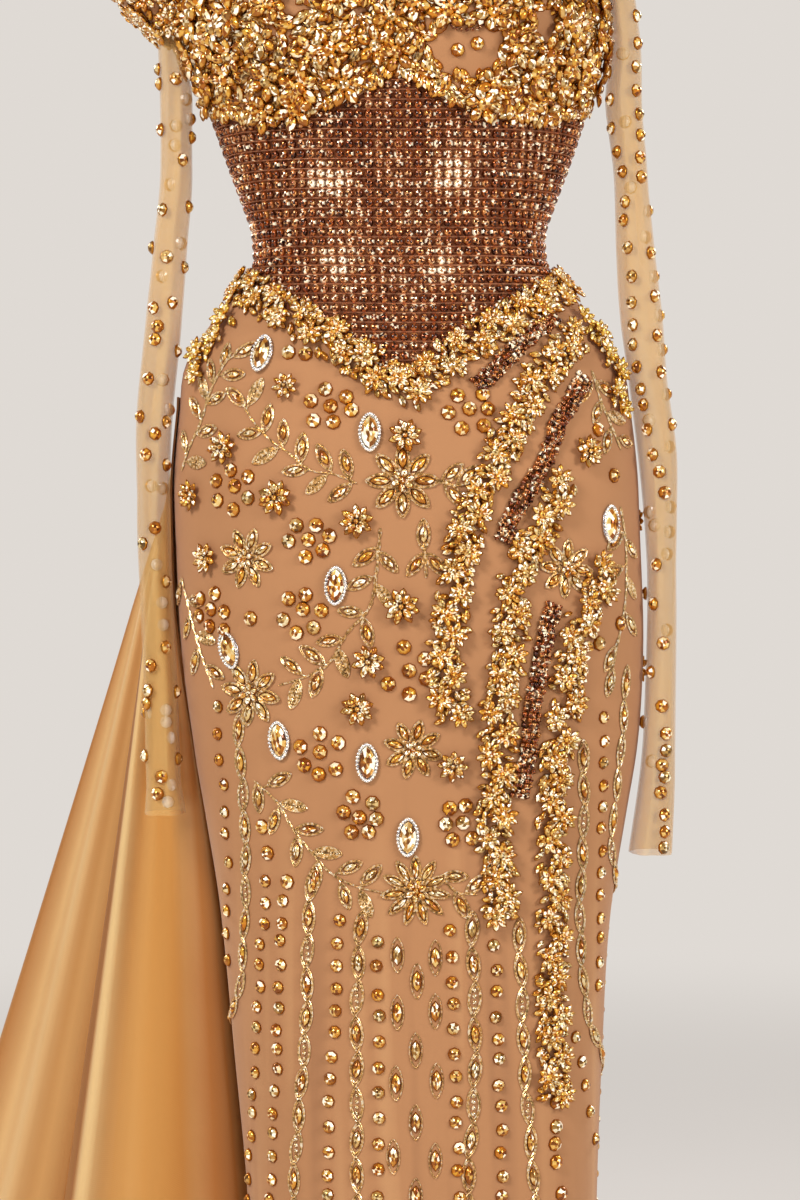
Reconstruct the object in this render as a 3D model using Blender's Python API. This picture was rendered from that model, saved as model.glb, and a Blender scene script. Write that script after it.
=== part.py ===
"""Column evening dress with a beaded bodice, a boned waist, hanging sleeves and a satin train.

The dress keeps the hollow form it has when it is worn. Sizes below are in millimetres and are turned into
metres when the meshes are made. +Z is up, -Y is the front, and -X is the side that carries the train.
The origin is the middle of the waist. An angle is measured round the body from the centre front towards +X.
"""

import math

import bpy
import numpy as np

MM = 0.001

# Cloth and seams
SEAM_GAP = 0.3
WALL = 2.0
CUP_WALL = 2.6
SATIN_WALL = 1.5
TULLE_WALL = 1.0
LIFT = 0.8

# Heights from the waist
HEM_Z = -1080.0
NECK_SIDE_Z = 236.0
BACK_NECK_Z = 182.0

# Bust shaping, added to the front of the sections
BUST_APEX_X = 84.0
BUST_APEX_Z = 168.0
BUST_RISE = 30.0
BUST_SPREAD_X = 42.0
BUST_SPREAD_Z = 44.0

SECTION_POWER = 2.15

# Sections of the body of the dress: height, half width, depth in front, depth behind, middle of the width
SECTIONS = np.array(
    [
        (300, 146, 80, 92, -5),
        (262, 152, 88, 95, -5),
        (225, 157, 95, 97, -6),
        (190, 160, 98, 97, -7),
        (150, 157, 96, 94, -5),
        (112, 145, 92, 90, -2),
        (62, 128, 86, 82, -1),
        (35, 118, 82, 77, -1),
        (12, 110.5, 80, 74, -1),
        (-8, 110, 81, 75, 0),
        (-30, 124, 84, 80, 2),
        (-57, 147, 88, 90, 3),
        (-87, 166, 94, 104, 3),
        (-125, 172, 99, 117, 4),
        (-190, 177, 104, 128, 5),
        (-267, 177, 102, 120, 8),
        (-320, 175, 99, 110, 10),
        (-385, 168, 96, 98, 12),
        (-426, 161, 93, 92, 12),
        (-501, 149, 90, 88, 12),
        (-614, 140, 86, 86, 14),
        (-724, 133, 84, 88, 17),
        (-850, 131, 86, 94, 18),
        (-1000, 136, 94, 104, 18),
        (-1080, 143, 101, 113, 18),
    ],
    float,
)

# Where the bodice joins the skirt: angle from the centre front, height. It dips to a point in front.
WAIST_SEAM = np.array(
    [
        (0, -112), (11, -100), (22, -86), (32, -73), (43, -61), (54, -48), (69, -35), (90, -26),
        (120, -24), (150, -34), (180, -52),
    ],
    float,
)

# Lower edge of the bust cups and the neckline: angle from the centre front, height
CUP_EDGE = np.array(
    [(0, 119), (10, 108), (20, 99), (29, 93), (38, 88), (49, 85), (61, 86), (74, 94), (90, 105)], float
)
NECKLINE = np.array([(0, 208), (14, 232), (30, 256), (46, 264), (64, 254), (80, 241), (90, 236)], float)
BACK_NECKLINE = np.array([(90, 236), (110, 222), (135, 200), (160, 186), (180, 182)], float)

# Hanging sleeves: height, middle of the width, half width, half depth
LEFT_SLEEVE = np.array(
    [
        (161, -174.5, 9.5, 28), (136, -172, 11, 29), (116, -170, 12.5, 30), (60, -170, 12, 31),
        (0, -175, 12.6, 31), (-60, -180.5, 14, 32), (-128, -187, 13.5, 32), (-200, -187.5, 12.6, 31),
        (-262, -185, 12.4, 31), (-337, -182, 13, 31), (-402, -180.5, 13, 32), (-429, -179, 15.8, 33),
    ],
    float,
)
RIGHT_SLEEVE = np.array(
    [
        (199, 167, 11.5, 28), (145, 171.5, 12, 29), (114, 170, 13.7, 30), (60, 175, 13, 31),
        (0, 179, 14.5, 31), (-55, 184, 16, 32), (-101, 189, 14.8, 32), (-155, 196, 14.6, 32),
        (-200, 198, 12.5, 31), (-262, 199, 11, 31), (-337, 198, 11.5, 31), (-402, 196, 13.6, 32),
        (-459, 191, 16.5, 33),
    ],
    float,
)
SLEEVE_MIDDLE_Y = -6.0
SLEEVE_SIDES = 14
SLEEVE_FOLD = 0.13

# Beaded sleeve heads: share of the height from the lower edge, growth of the half width and of the half depth
SLEEVE_HEAD = np.array([(0, 0, 0), (0.12, 6, 5), (0.25, 14, 12), (0.5, 26, 20), (1, 36, 26)], float)
SLEEVE_HEAD_TOP_Z = 272.0
SLEEVE_HEAD_WALL = 2.4
SLEEVE_HEAD_SIDES = 18

# The train's folds, from its edge behind the right hip to its edge at the left hip: the angle of the seam
# point that a fold hangs from, where the fold meets the floor, and where the hem then lies on the floor
TRAIN_FOLDS = np.array(
    [
        (-210, 112, 176, 126, 196),
        (-203, 176, 300, 196, 330),
        (-195, 84, 330, 180, 440),
        (-187, 80, 480, 120, 560),
        (-178, -12, 420, 30, 640),
        (-169, -104, 560, -80, 700),
        (-160, -164, 440, -190, 716),
        (-151, -310, 520, -304, 690),
        (-142, -276, 376, -396, 620),
        (-132, -440, 390, -470, 530),
        (-122, -340, 268, -526, 420),
        (-109, -476, 214, -536, 286),
        (-103, -330, 150, -420, 186),
        (-98, -300, 100, -316, 112),
        (-94, -112, 92, -116, 96),
    ],
    float,
)
TRAIN_TOP = np.array([(-210, -90), (-180, -76), (-150, -82), (-120, -98), (-94, -112)], float)
TRAIN_STEPS_PER_FOLD = 3
TRAIN_CLEAR = 1.2
TRAIN_SOFTNESS = 22.0
# Share of the height down to the floor and share of the way from there to the hem, row by row
TRAIN_ROWS = np.array(
    [
        (0, 0), (0.06, 0), (0.14, 0), (0.24, 0), (0.36, 0), (0.5, 0), (0.64, 0),
        (0.78, 0), (0.9, 0.02), (0.97, 0.12), (0.995, 0.45), (1, 1),
    ],
    float,
)

# Places on the front are given as they are seen from a viewpoint in front of the dress: across and height on
# the plane through the body's middle
VIEW_DISTANCE = 2163.0
VIEW_Z = -267.0

# Crystal cascades, middle line from the top down
CASCADES = {
    "cascade_inner": [
        (134, -66), (119, -80), (103, -102), (93, -122), (79, -149), (66, -176), (53, -206), (47, -229),
        (42, -260), (37, -290), (36, -317), (38, -344), (42, -356),
    ],
    "cascade_middle": [
        (124, -178), (116, -195), (105, -214), (93, -237), (87, -263), (84, -290), (82, -317), (76, -344),
        (74, -370), (74, -397), (73, -458), (77, -485), (76, -508),
    ],
    "cascade_outer": [
        (156, -243), (148, -263), (137, -286), (131, -309), (127, -336), (122, -366), (118, -397),
        (117, -427), (117, -466), (116, -496), (115, -557), (115, -588), (116, -618), (117, -645),
    ],
}
CASCADE_WIDTH = 21.0
CASCADE_RISE = 7.0

# Trails of dark bronze stones, middle line from the top down
BRONZE_TRAILS = {
    "bronze_trail_upper": [(116, -50), (109, -57), (97, -67), (85, -79), (73, -91), (59, -104)],
    "bronze_trail_middle": [
        (140, -98), (130, -116), (121, -130), (115, -149), (108, -165), (95, -187), (86, -202), (78, -221),
    ],
    "bronze_trail_lower": [
        (117, -271), (111, -292), (108, -309), (104, -334), (100, -353), (99, -374), (96, -392), (91, -416),
    ],
}
BRONZE_WIDTH = 8.0
BRONZE_RISE = 4.0

# Garlands: the waist one lies on the waist seam, the hip ones go down from it, as angle and height
GARLAND_WIDTH = 25.0
GARLAND_RISE = 7.0
GARLAND_ENDS = {
    "waist_garland_front": (-89.0, 89.0),
    "waist_garland_back_left": (-176.0, -91.0),
    "waist_garland_back_right": (91.0, 176.0),
}
HIP_GARLANDS = {
    "hip_garland_left": [(-71, -58), (-73, -70), (-74.5, -82), (-75, -98)],
    "hip_garland_right": [(73, -57), (75, -74), (76, -94), (75.5, -124)],
}
HIP_GARLAND_WIDTH = 19.0
CLUSTER_PITCH = 24.0

# Rimmed brooches: across, height, turn in degrees
BROOCHES = [
    (-105, -79, 10), (-23, -139, 0), (-49, -256, 3), (-130, -305, -15),
    (-92, -374, -4), (-25, -391, 0), (6, -448, 2), (160, -209, 0),
]
BROOCH_HALF_WIDTH = 8.5
BROOCH_HALF_HEIGHT = 14.5
BROOCH_RISE = 5.5
BROOCH_SIDES = 14

# Raised crystal rosettes: across, height, radius
ROSETTES = [
    (-87, -104, 10.5), (4, -142, 13), (-134, -151, 13), (-158, -187, 12), (-94, -189, 14), (-33, -207, 13),
    (-147, -235, 12), (1, -272, 14), (-24, -314, 13), (-32, -350, 13), (40, -394, 12), (142, -154, 13),
]
ROSETTE_PETALS = 8
ROSETTE_RISE = 6.0

# Relief of the crystals that cover the cups and the sleeve heads
CRUST_RISE = 5.0
CRUST_PITCH = 30.0

# Columns of points round the front, each cup and each back panel, and rows of points up the panels as shares of
# a panel's height
FRONT_COLUMNS = 23
CUP_COLUMNS = 12
BACK_COLUMNS = 11
BODICE_ROWS = np.array([0, 0.035, 0.075, 0.12, 0.19, 0.28, 0.42, 0.56, 0.7, 0.85, 1])
CUP_ROWS = np.linspace(0, 1, 10)
SKIRT_ROWS = np.array(
    [0, 0.11, 0.22, 0.33, 0.44, 0.54, 0.63, 0.71, 0.78, 0.84, 0.885, 0.92, 0.947, 0.968, 0.986, 1]
)

COLOURS = {
    "crystal": ((0.80, 0.52, 0.18, 1), 0.25, 0.6),
    "bronze_mesh": ((0.36, 0.18, 0.09, 1), 0.4, 0.6),
    "nude_mesh": ((0.66, 0.42, 0.26, 1), 0.75, 0.0),
    "satin": ((0.76, 0.48, 0.18, 1), 0.35, 0.0),
    "tulle": ((0.74, 0.60, 0.34, 1), 0.7, 0.0),
    "zip_tape": ((0.60, 0.40, 0.26, 1), 0.7, 0.0),
}


def smooth(table_x, table_y, x):
    """Reads a table between its rows on a smooth curve that keeps to the rows' own rise and fall."""
    order = np.argsort(table_x)
    xs, ys = np.asarray(table_x, float)[order], np.asarray(table_y, float)[order]
    steps = np.diff(xs)
    slopes = np.diff(ys) / steps
    tangents = np.concatenate([slopes[:1], (slopes[1:] + slopes[:-1]) / 2, slopes[-1:]])
    turns = np.concatenate([[False], slopes[1:] * slopes[:-1] <= 0, [False]])
    tangents = np.where(turns, 0.0, tangents)
    x = np.clip(x, xs[0], xs[-1])
    k = np.clip(np.searchsorted(xs, x, side="right") - 1, 0, len(steps) - 1)
    t = (x - xs[k]) / steps[k]
    start, end = ys[k], ys[k + 1]
    rise_start, rise_end = tangents[k] * steps[k], tangents[k + 1] * steps[k]
    return (
        (2 * t**3 - 3 * t**2 + 1) * start
        + (t**3 - 2 * t**2 + t) * rise_start
        + (3 * t**2 - 2 * t**3) * end
        + (t**3 - t**2) * rise_end
    )


def section(z):
    """Half width, front depth, back depth and middle of the dress at a height."""
    return [smooth(SECTIONS[:, 0], SECTIONS[:, c], z) for c in (1, 2, 3, 4)]


def around(angle):
    """The angle folded to 0 at the front and 180 at the back."""
    return np.abs((np.asarray(angle, float) + 180.0) % 360.0 - 180.0)


def body_radius(angle, z):
    """Distance of the cloth from the body's middle line, at an angle in degrees and a height."""
    half_width, front, back, _ = section(z)
    turn = np.radians(angle)
    depth = np.where(np.cos(turn) > 0, front, back)
    across = (np.abs(np.sin(turn)) / half_width) ** SECTION_POWER
    along = (np.abs(np.cos(turn)) / depth) ** SECTION_POWER
    radius = (across + along) ** (-1 / SECTION_POWER)
    side = (np.abs(radius * np.sin(turn)) - BUST_APEX_X) / BUST_SPREAD_X
    height = (z - BUST_APEX_Z) / BUST_SPREAD_Z
    facing = np.clip(np.cos(turn), 0, 1)
    return radius + BUST_RISE * facing * np.exp(-(side**2 + height**2) / 2)


def bare_point(angle, z):
    """A point of the body's surface, before it is moved out."""
    turn = np.radians(angle)
    radius = body_radius(angle, z)
    middle = section(z)[3]
    return np.stack([middle + radius * np.sin(turn), -radius * np.cos(turn), z + 0 * radius], axis=-1)


def frame_at(angle, z):
    """Surface point, its normal, and how far a degree and a millimetre of height go along the surface."""
    step_angle, step_z = 0.2, 0.5
    angle, z = np.broadcast_arrays(np.asarray(angle, float), np.asarray(z, float))
    by_angle = (bare_point(angle + step_angle, z) - bare_point(angle - step_angle, z)) / (2 * step_angle)
    by_z = (bare_point(angle, z + step_z) - bare_point(angle, z - step_z)) / (2 * step_z)
    normal = np.cross(by_angle, by_z)
    normal /= np.linalg.norm(normal, axis=-1, keepdims=True)
    return bare_point(angle, z), normal, np.linalg.norm(by_angle, axis=-1), np.linalg.norm(by_z, axis=-1)


def on_body(angle, z, out):
    """The surface point at an angle and a height, moved out along the normal."""
    point, normal, _, _ = frame_at(angle, z)
    return point + normal * np.asarray(out, float)[..., None]


def facet_point(angle, z):
    """A point on the flat facets of the bodice and skirt panels, between four of their points."""
    angle = (np.asarray(angle, float) + 180.0) % 360.0 - 180.0
    angle, z = np.broadcast_arrays(angle, np.asarray(z, float))
    back = np.linspace(90, 180, BACK_COLUMNS)
    columns = np.concatenate([-back[::-1], np.linspace(-90, 90, FRONT_COLUMNS)[1:-1], back])
    k = np.clip(np.searchsorted(columns, angle, side="right") - 1, 0, len(columns) - 2)
    ends = columns[k], columns[k + 1]
    t = (angle - ends[0]) / (ends[1] - ends[0])
    above = z > (1 - t) * waist_seam(ends[0]) + t * waist_seam(ends[1])
    in_front = np.abs((ends[0] + ends[1]) / 2) < 90
    lows, highs = [], []
    for end in ends:
        top = np.where(in_front, cup_edge(end), back_neckline(end))
        lows.append(np.where(above, waist_seam(end), HEM_Z))
        highs.append(np.where(above, top, waist_seam(end)))
    low, high = [(1 - t) * pair[0] + t * pair[1] for pair in (lows, highs)]
    share = np.clip((z - low) / (high - low), 0, 1)
    found = np.zeros(z.shape + (3,))
    for part, rows in ((above, BODICE_ROWS), (~above, SKIRT_ROWS)):
        r = np.clip(np.searchsorted(rows, share, side="right") - 1, 0, len(rows) - 2)
        u = (share - rows[r]) / (rows[r + 1] - rows[r])
        point = 0
        for end, low_z, high_z, weight in zip(ends, lows, highs, (1 - t, t)):
            for row, row_weight in ((r, 1 - u), (r + 1, u)):
                corner = bare_point(end, low_z + (high_z - low_z) * rows[row])
                point = point + corner * (weight * row_weight)[..., None]
        found = np.where(part[..., None], point, found)
    return found


def on_cloth(angle, z, out):
    """A point moved out from the panels' facets, or in when out is negative."""
    return facet_point(angle, z) + frame_at(angle, z)[1] * np.asarray(out, float)[..., None]


def angle_at(across, z):
    """The angle of the front surface point that lies at a distance across from the middle."""
    low, high = np.full(np.shape(across), -110.0), np.full(np.shape(across), 110.0)
    for _ in range(40):
        middle = (low + high) / 2
        too_far = bare_point(middle, z)[..., 0] > across
        low, high = np.where(too_far, low, middle), np.where(too_far, middle, high)
    return (low + high) / 2


def make_object(name, points, faces, colour):
    """A named object from points in millimetres, with its own material and smooth shading."""
    mesh = bpy.data.meshes.new(name)
    mesh.from_pydata((np.asarray(points, float) * MM).tolist(), [], faces)
    mesh.validate()
    mesh.shade_smooth()
    mesh.set_sharp_from_angle(angle=math.radians(50))
    shade, roughness, metallic = COLOURS[colour]
    material = bpy.data.materials.new(name)
    material.use_nodes = True
    shader = material.node_tree.nodes["Principled BSDF"]
    shader.inputs["Base Color"].default_value = shade
    shader.inputs["Roughness"].default_value = roughness
    shader.inputs["Metallic"].default_value = metallic
    mesh.materials.append(material)
    made = bpy.data.objects.new(name, mesh)
    bpy.context.scene.collection.objects.link(made)
    return made


def slab(name, inner, outer, colour, ring=False):
    """A closed wall between two grids of points, rows going up and columns going round towards +X.

    A ring joins its last column to its first.
    """
    rows, columns = outer.shape[:2]
    points = np.concatenate([outer.reshape(-1, 3), inner.reshape(-1, 3)])
    back = rows * columns
    across = [(c, (c + 1) % columns) for c in range(columns if ring else columns - 1)]
    faces = []
    for r in range(rows - 1):
        for c, d in across:
            a, b, e, f = r * columns + c, r * columns + d, (r + 1) * columns + d, (r + 1) * columns + c
            faces.append((a, b, e, f))
            faces.append((f + back, e + back, b + back, a + back))
    for c, d in across:
        top = (rows - 1) * columns
        faces.append((c, c + back, d + back, d))
        faces.append((top + d, top + d + back, top + c + back, top + c))
    if not ring:
        last = columns - 1
        for r in range(rows - 1):
            a, b = r * columns, (r + 1) * columns
            faces.append((b, b + back, a + back, a))
            faces.append((a + last, a + last + back, b + last + back, b + last))
    return make_object(name, points, faces, colour)


def crust(angle, z):
    """Height of the crystal crust, in soft clusters. It thins out towards the seams."""
    run = np.radians(angle) * 130.0
    first = np.cos(2 * math.pi * run / CRUST_PITCH + 0.8 * np.sin(z / 17.0))
    second = np.cos(2 * math.pi * z / (0.8 * CRUST_PITCH) + 1.1 * np.sin(run / 23.0))
    from_seams = np.minimum(np.abs(angle), 90.0 - np.abs(angle))
    thin = np.clip(from_seams / 11.0, 0.05, 1.0) * np.clip((z - cup_edge(angle)) / 10.0, 0.15, 1.0)
    return CRUST_RISE * thin * (0.62 + 0.38 * first * second)


def panel(name, angles, low_z, high_z, rows, colour, wall=WALL, relief=None):
    """A cloth panel between two angles and two seam lines, a half seam gap inside each of them."""
    start, end, columns = angles
    trim = SEAM_GAP / 2
    radius = 150.0
    trim_angle = math.degrees(trim / radius)
    angle = np.linspace(start + trim_angle, end - trim_angle, columns)
    low, high = low_z(angle) + trim, high_z(angle) - trim
    z = low[None, :] + (high - low)[None, :] * rows[:, None]
    angle = np.repeat(angle[None, :], len(rows), axis=0)
    outside = np.zeros_like(z) if relief is None else relief(angle, z)
    inner = on_body(angle, z, np.full_like(z, -wall))
    return slab(name, inner, on_body(angle, z, outside), colour)


def waist_seam(angle):
    return smooth(WAIST_SEAM[:, 0], WAIST_SEAM[:, 1], around(angle))


def cup_edge(angle):
    return smooth(CUP_EDGE[:, 0], CUP_EDGE[:, 1], around(angle))


def neckline(angle):
    return smooth(NECKLINE[:, 0], NECKLINE[:, 1], around(angle))


def back_neckline(angle):
    return smooth(BACK_NECKLINE[:, 0], BACK_NECKLINE[:, 1], around(angle))


def hem(angle):
    return np.full(np.shape(angle), HEM_Z)


def make_bodice():
    """Two crystal cups, a bronze mesh waist panel and two back panels."""
    panel("bust_cup_left", (-90, 0, CUP_COLUMNS), cup_edge, neckline, CUP_ROWS, "crystal", CUP_WALL, crust)
    panel("bust_cup_right", (0, 90, CUP_COLUMNS), cup_edge, neckline, CUP_ROWS, "crystal", CUP_WALL, crust)
    panel("waist_panel_front", (-90, 90, FRONT_COLUMNS), waist_seam, cup_edge, BODICE_ROWS, "bronze_mesh")
    panel("bodice_back_left", (-180, -90, BACK_COLUMNS), waist_seam, back_neckline, BODICE_ROWS, "bronze_mesh")
    panel("bodice_back_right", (90, 180, BACK_COLUMNS), waist_seam, back_neckline, BODICE_ROWS, "bronze_mesh")


def make_skirt():
    """A front and two backs that narrow to the knee, with more rows where the hip curves."""
    panel("skirt_front", (-90, 90, FRONT_COLUMNS), hem, waist_seam, SKIRT_ROWS, "nude_mesh")
    panel("skirt_back_left", (-180, -90, BACK_COLUMNS), hem, waist_seam, SKIRT_ROWS, "nude_mesh")
    panel("skirt_back_right", (90, 180, BACK_COLUMNS), hem, waist_seam, SKIRT_ROWS, "nude_mesh")


def make_zip():
    """The tape that closes the centre back, lying inside the seam, with its rows at the panels' own rows."""
    half_width, thick, end_z, top_gap = 4.0, 1.0, -250.0, 4.0
    seam_z = float(waist_seam(180.0))
    skirt_z = HEM_Z + (seam_z - HEM_Z) * SKIRT_ROWS
    bodice_z = seam_z + (BACK_NECK_Z - seam_z) * BODICE_ROWS
    z = np.concatenate([skirt_z[skirt_z > end_z], bodice_z[1:-1], [BACK_NECK_Z - top_gap]])[:, None]
    angle = 180.0 + np.degrees(half_width / body_radius(180.0, z)) * np.linspace(-1, 1, 3)[None, :]
    z = z + 0 * angle
    outer = on_cloth(angle, z, np.full_like(z, -(WALL + LIFT)))
    inner = on_cloth(angle, z, np.full_like(z, -(WALL + LIFT + thick)))
    slab("back_zip", inner, outer, "zip_tape")


def oval(turns, half_width, half_depth, fold):
    """Cross section of a tube, with one soft crease down its front and one down its back."""
    crease = 1 - fold * np.exp(-((np.sin(turns) / 0.32) ** 2))
    x = half_width * np.sign(np.sin(turns)) * np.abs(np.sin(turns)) ** 0.85
    return x, -half_depth * np.cos(turns) * crease


def tube(name, z, middle, half_width, half_depth, sides, wall, colour, fold=0.0, relief=0.0):
    """An open tube of oval sections, stacked upwards."""
    turns = np.linspace(0, 2 * math.pi, sides, endpoint=False)[None, :]
    z, middle = z[:, None], middle[:, None]
    half_width, half_depth = half_width[:, None], half_depth[:, None]
    bumps = relief * (0.5 + 0.5 * np.cos(5 * turns + z / 6.0)) * np.ones_like(z)
    x, y = oval(turns, half_width + bumps, half_depth + bumps, fold)
    inner_x, inner_y = oval(turns, half_width - wall, half_depth - wall * 1.6, fold)
    outer = np.stack([middle + x, SLEEVE_MIDDLE_Y + y, z + 0 * x], axis=-1)
    inner = np.stack([middle + inner_x, SLEEVE_MIDDLE_Y + inner_y, z + 0 * x], axis=-1)
    return slab(name, inner, outer, colour, ring=True)


def make_sleeve(side, table, sign):
    """A limp tulle sleeve that hangs from a beaded head. The head is sewn to the side of the bodice."""
    top_z = table[0, 0]
    z = np.linspace(table[-1, 0], top_z - SEAM_GAP, 13)
    middle, half_width, half_depth = [smooth(table[:, 0], table[:, c], z) for c in (1, 2, 3)]
    tube(
        f"sleeve_{side}", z, middle, half_width, half_depth, SLEEVE_SIDES, TULLE_WALL, "tulle",
        fold=SLEEVE_FOLD,
    )
    share = np.linspace(0, 1, 6)
    z = top_z + (SLEEVE_HEAD_TOP_Z - top_z) * share
    growth = [smooth(SLEEVE_HEAD[:, 0], SLEEVE_HEAD[:, c], share) for c in (1, 2)]
    half_width, half_depth = table[0, 2] + growth[0], table[0, 3] + growth[1]
    beside_bodice = bare_point(90.0 * sign, z)[:, 0] + sign * (0.6 * LIFT + half_width)
    middle = beside_bodice + (table[0, 1] - beside_bodice[0]) * (1 - share) ** 5
    tube(
        f"sleeve_head_{side}", z, middle, half_width, half_depth, SLEEVE_HEAD_SIDES,
        SLEEVE_HEAD_WALL, "crystal",
    )


def train_grid():
    """Points of the satin train, rows going up from the floor and columns going round towards +X."""
    folds = np.arange(len(TRAIN_FOLDS))
    fine = np.linspace(0, folds[-1], folds[-1] * TRAIN_STEPS_PER_FOLD + 1)
    seam_angle, floor_x, floor_y, hem_x, hem_y = [smooth(folds, TRAIN_FOLDS[:, c], fine) for c in range(5)]
    top_z = smooth(TRAIN_TOP[:, 0], TRAIN_TOP[:, 1], seam_angle)
    top = on_body(seam_angle, top_z, np.full_like(top_z, LIFT + SATIN_WALL + 0.4 * TRAIN_CLEAR))
    down, out = TRAIN_ROWS[:, 0][:, None], TRAIN_ROWS[:, 1][:, None]
    z = top_z + (HEM_Z + SATIN_WALL - top_z) * down
    floor, hem_line = np.stack([floor_x, floor_y], axis=-1), np.stack([hem_x, hem_y], axis=-1)
    flat = top[:, :2] + (floor - top[:, :2]) * down[..., None] + (hem_line - floor) * out[..., None]
    middle = section(z)[3]
    offset = flat - np.stack([middle, 0 * middle], axis=-1)
    reach = np.linalg.norm(offset, axis=-1)
    angle = np.degrees(np.arctan2(offset[..., 0], -offset[..., 1]))
    least = body_radius(angle, z) + LIFT + SATIN_WALL + TRAIN_CLEAR * (0.4 + down)
    soft = TRAIN_SOFTNESS * np.clip(down * 6, 0.02, 1)
    kept = (reach + least + np.sqrt((reach - least) ** 2 + soft**2)) / 2
    flat = np.stack([middle, 0 * middle], axis=-1) + offset * (kept / reach)[..., None]
    return np.concatenate([flat, z[..., None]], axis=-1)[::-1]


def grid_normals(grid):
    """Unit normals of a grid of points, from its rows and columns."""
    by_row, by_column = np.gradient(grid, axis=0), np.gradient(grid, axis=1)
    normal = np.cross(by_column, by_row)
    return normal / np.linalg.norm(normal, axis=-1, keepdims=True)


def make_train():
    """The satin train, gathered on the back of the hips, falling in folds and running out on the floor."""
    outer = train_grid()
    slab("train", outer - grid_normals(outer) * SATIN_WALL, outer, "satin")


def seen_at(across, height):
    """Angle and height of the front point that is seen at a place from the viewpoint."""
    across, height = np.asarray(across, float), np.asarray(height, float)
    y = np.full(across.shape, -80.0)
    for _ in range(12):
        nearer = (VIEW_DISTANCE + y) / VIEW_DISTANCE
        x, z = across * nearer, VIEW_Z + (height - VIEW_Z) * nearer
        angle = angle_at(x, z)
        y = (y + bare_point(angle, z)[..., 1]) / 2
    return angle, z


def fine_line(angle, z, step):
    """A smooth line through points on the body, with even steps along the surface."""
    _, _, per_degree, per_z = frame_at(angle, z)
    length = np.hypot(np.diff(angle) * per_degree[1:], np.diff(z) * per_z[1:])
    run = np.concatenate([[0], np.cumsum(length)])
    places = np.linspace(0, run[-1], max(3, int(round(run[-1] / step)) + 1))
    return smooth(run, angle, places), smooth(run, z, places)


def strip(name, angle, z, width, rise, colour, step=12.0):
    """A raised trim that follows a line on the body. Its sides are thin and its middle stands in clusters."""
    angle, z = fine_line(np.asarray(angle, float), np.asarray(z, float), step)
    _, _, per_degree, per_z = frame_at(angle, z)
    along, up = np.gradient(angle) * per_degree, np.gradient(z) * per_z
    length = np.hypot(along, up)
    run = np.concatenate([[0], np.cumsum(length[1:])])
    lobes = 0.5 + 0.5 * np.cos(2 * math.pi * run / CLUSTER_PITCH)
    half = width / 2 * (0.85 + 0.15 * lobes)
    half[[0, -1]] *= 0.55
    place = np.linspace(-1, 1, 5)[:, None]
    crown = np.array([0.3, 0.85, 1.0, 0.85, 0.3])[:, None]
    grid_angle = angle - place * half * (up / length) / per_degree
    grid_z = z + place * half * (along / length) / per_z
    low = on_cloth(grid_angle, grid_z, np.full_like(grid_z, LIFT))
    high = on_cloth(grid_angle, grid_z, LIFT + rise * crown * (0.72 + 0.28 * lobes))
    return slab(name, low, high, colour)


def medallion(name, angle, z, turn, outline, rings, colour):
    """A raised ornament on the body, from an outline in millimetres and rings of share and height."""
    _, _, per_degree, per_z = frame_at(angle, z)
    cos, sin = math.cos(math.radians(turn)), math.sin(math.radians(turn))
    x = outline[:, 0] * cos + outline[:, 1] * sin
    y = outline[:, 1] * cos - outline[:, 0] * sin
    sides = len(outline)
    points = []
    for share, height in [(0, 0), (1, 0), *rings]:
        count = 1 if share == 0 else sides
        ring_angle = angle + share * x[:count] / per_degree
        points.extend(on_cloth(ring_angle, z + share * y[:count] / per_z, np.full(count, LIFT + height)))
    last = len(points) - 1
    step = [(k, (k + 1) % sides) for k in range(sides)]
    faces = [(0, 1 + b, 1 + a) for a, b in step]
    for ring in range(len(rings) - 1):
        low, high = 1 + ring * sides, 1 + (ring + 1) * sides
        faces.extend((low + a, low + b, high + b, high + a) for a, b in step)
    high = 1 + (len(rings) - 1) * sides
    faces.extend((high + a, high + b, last) for a, b in step)
    return make_object(name, points, faces, colour)


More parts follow.
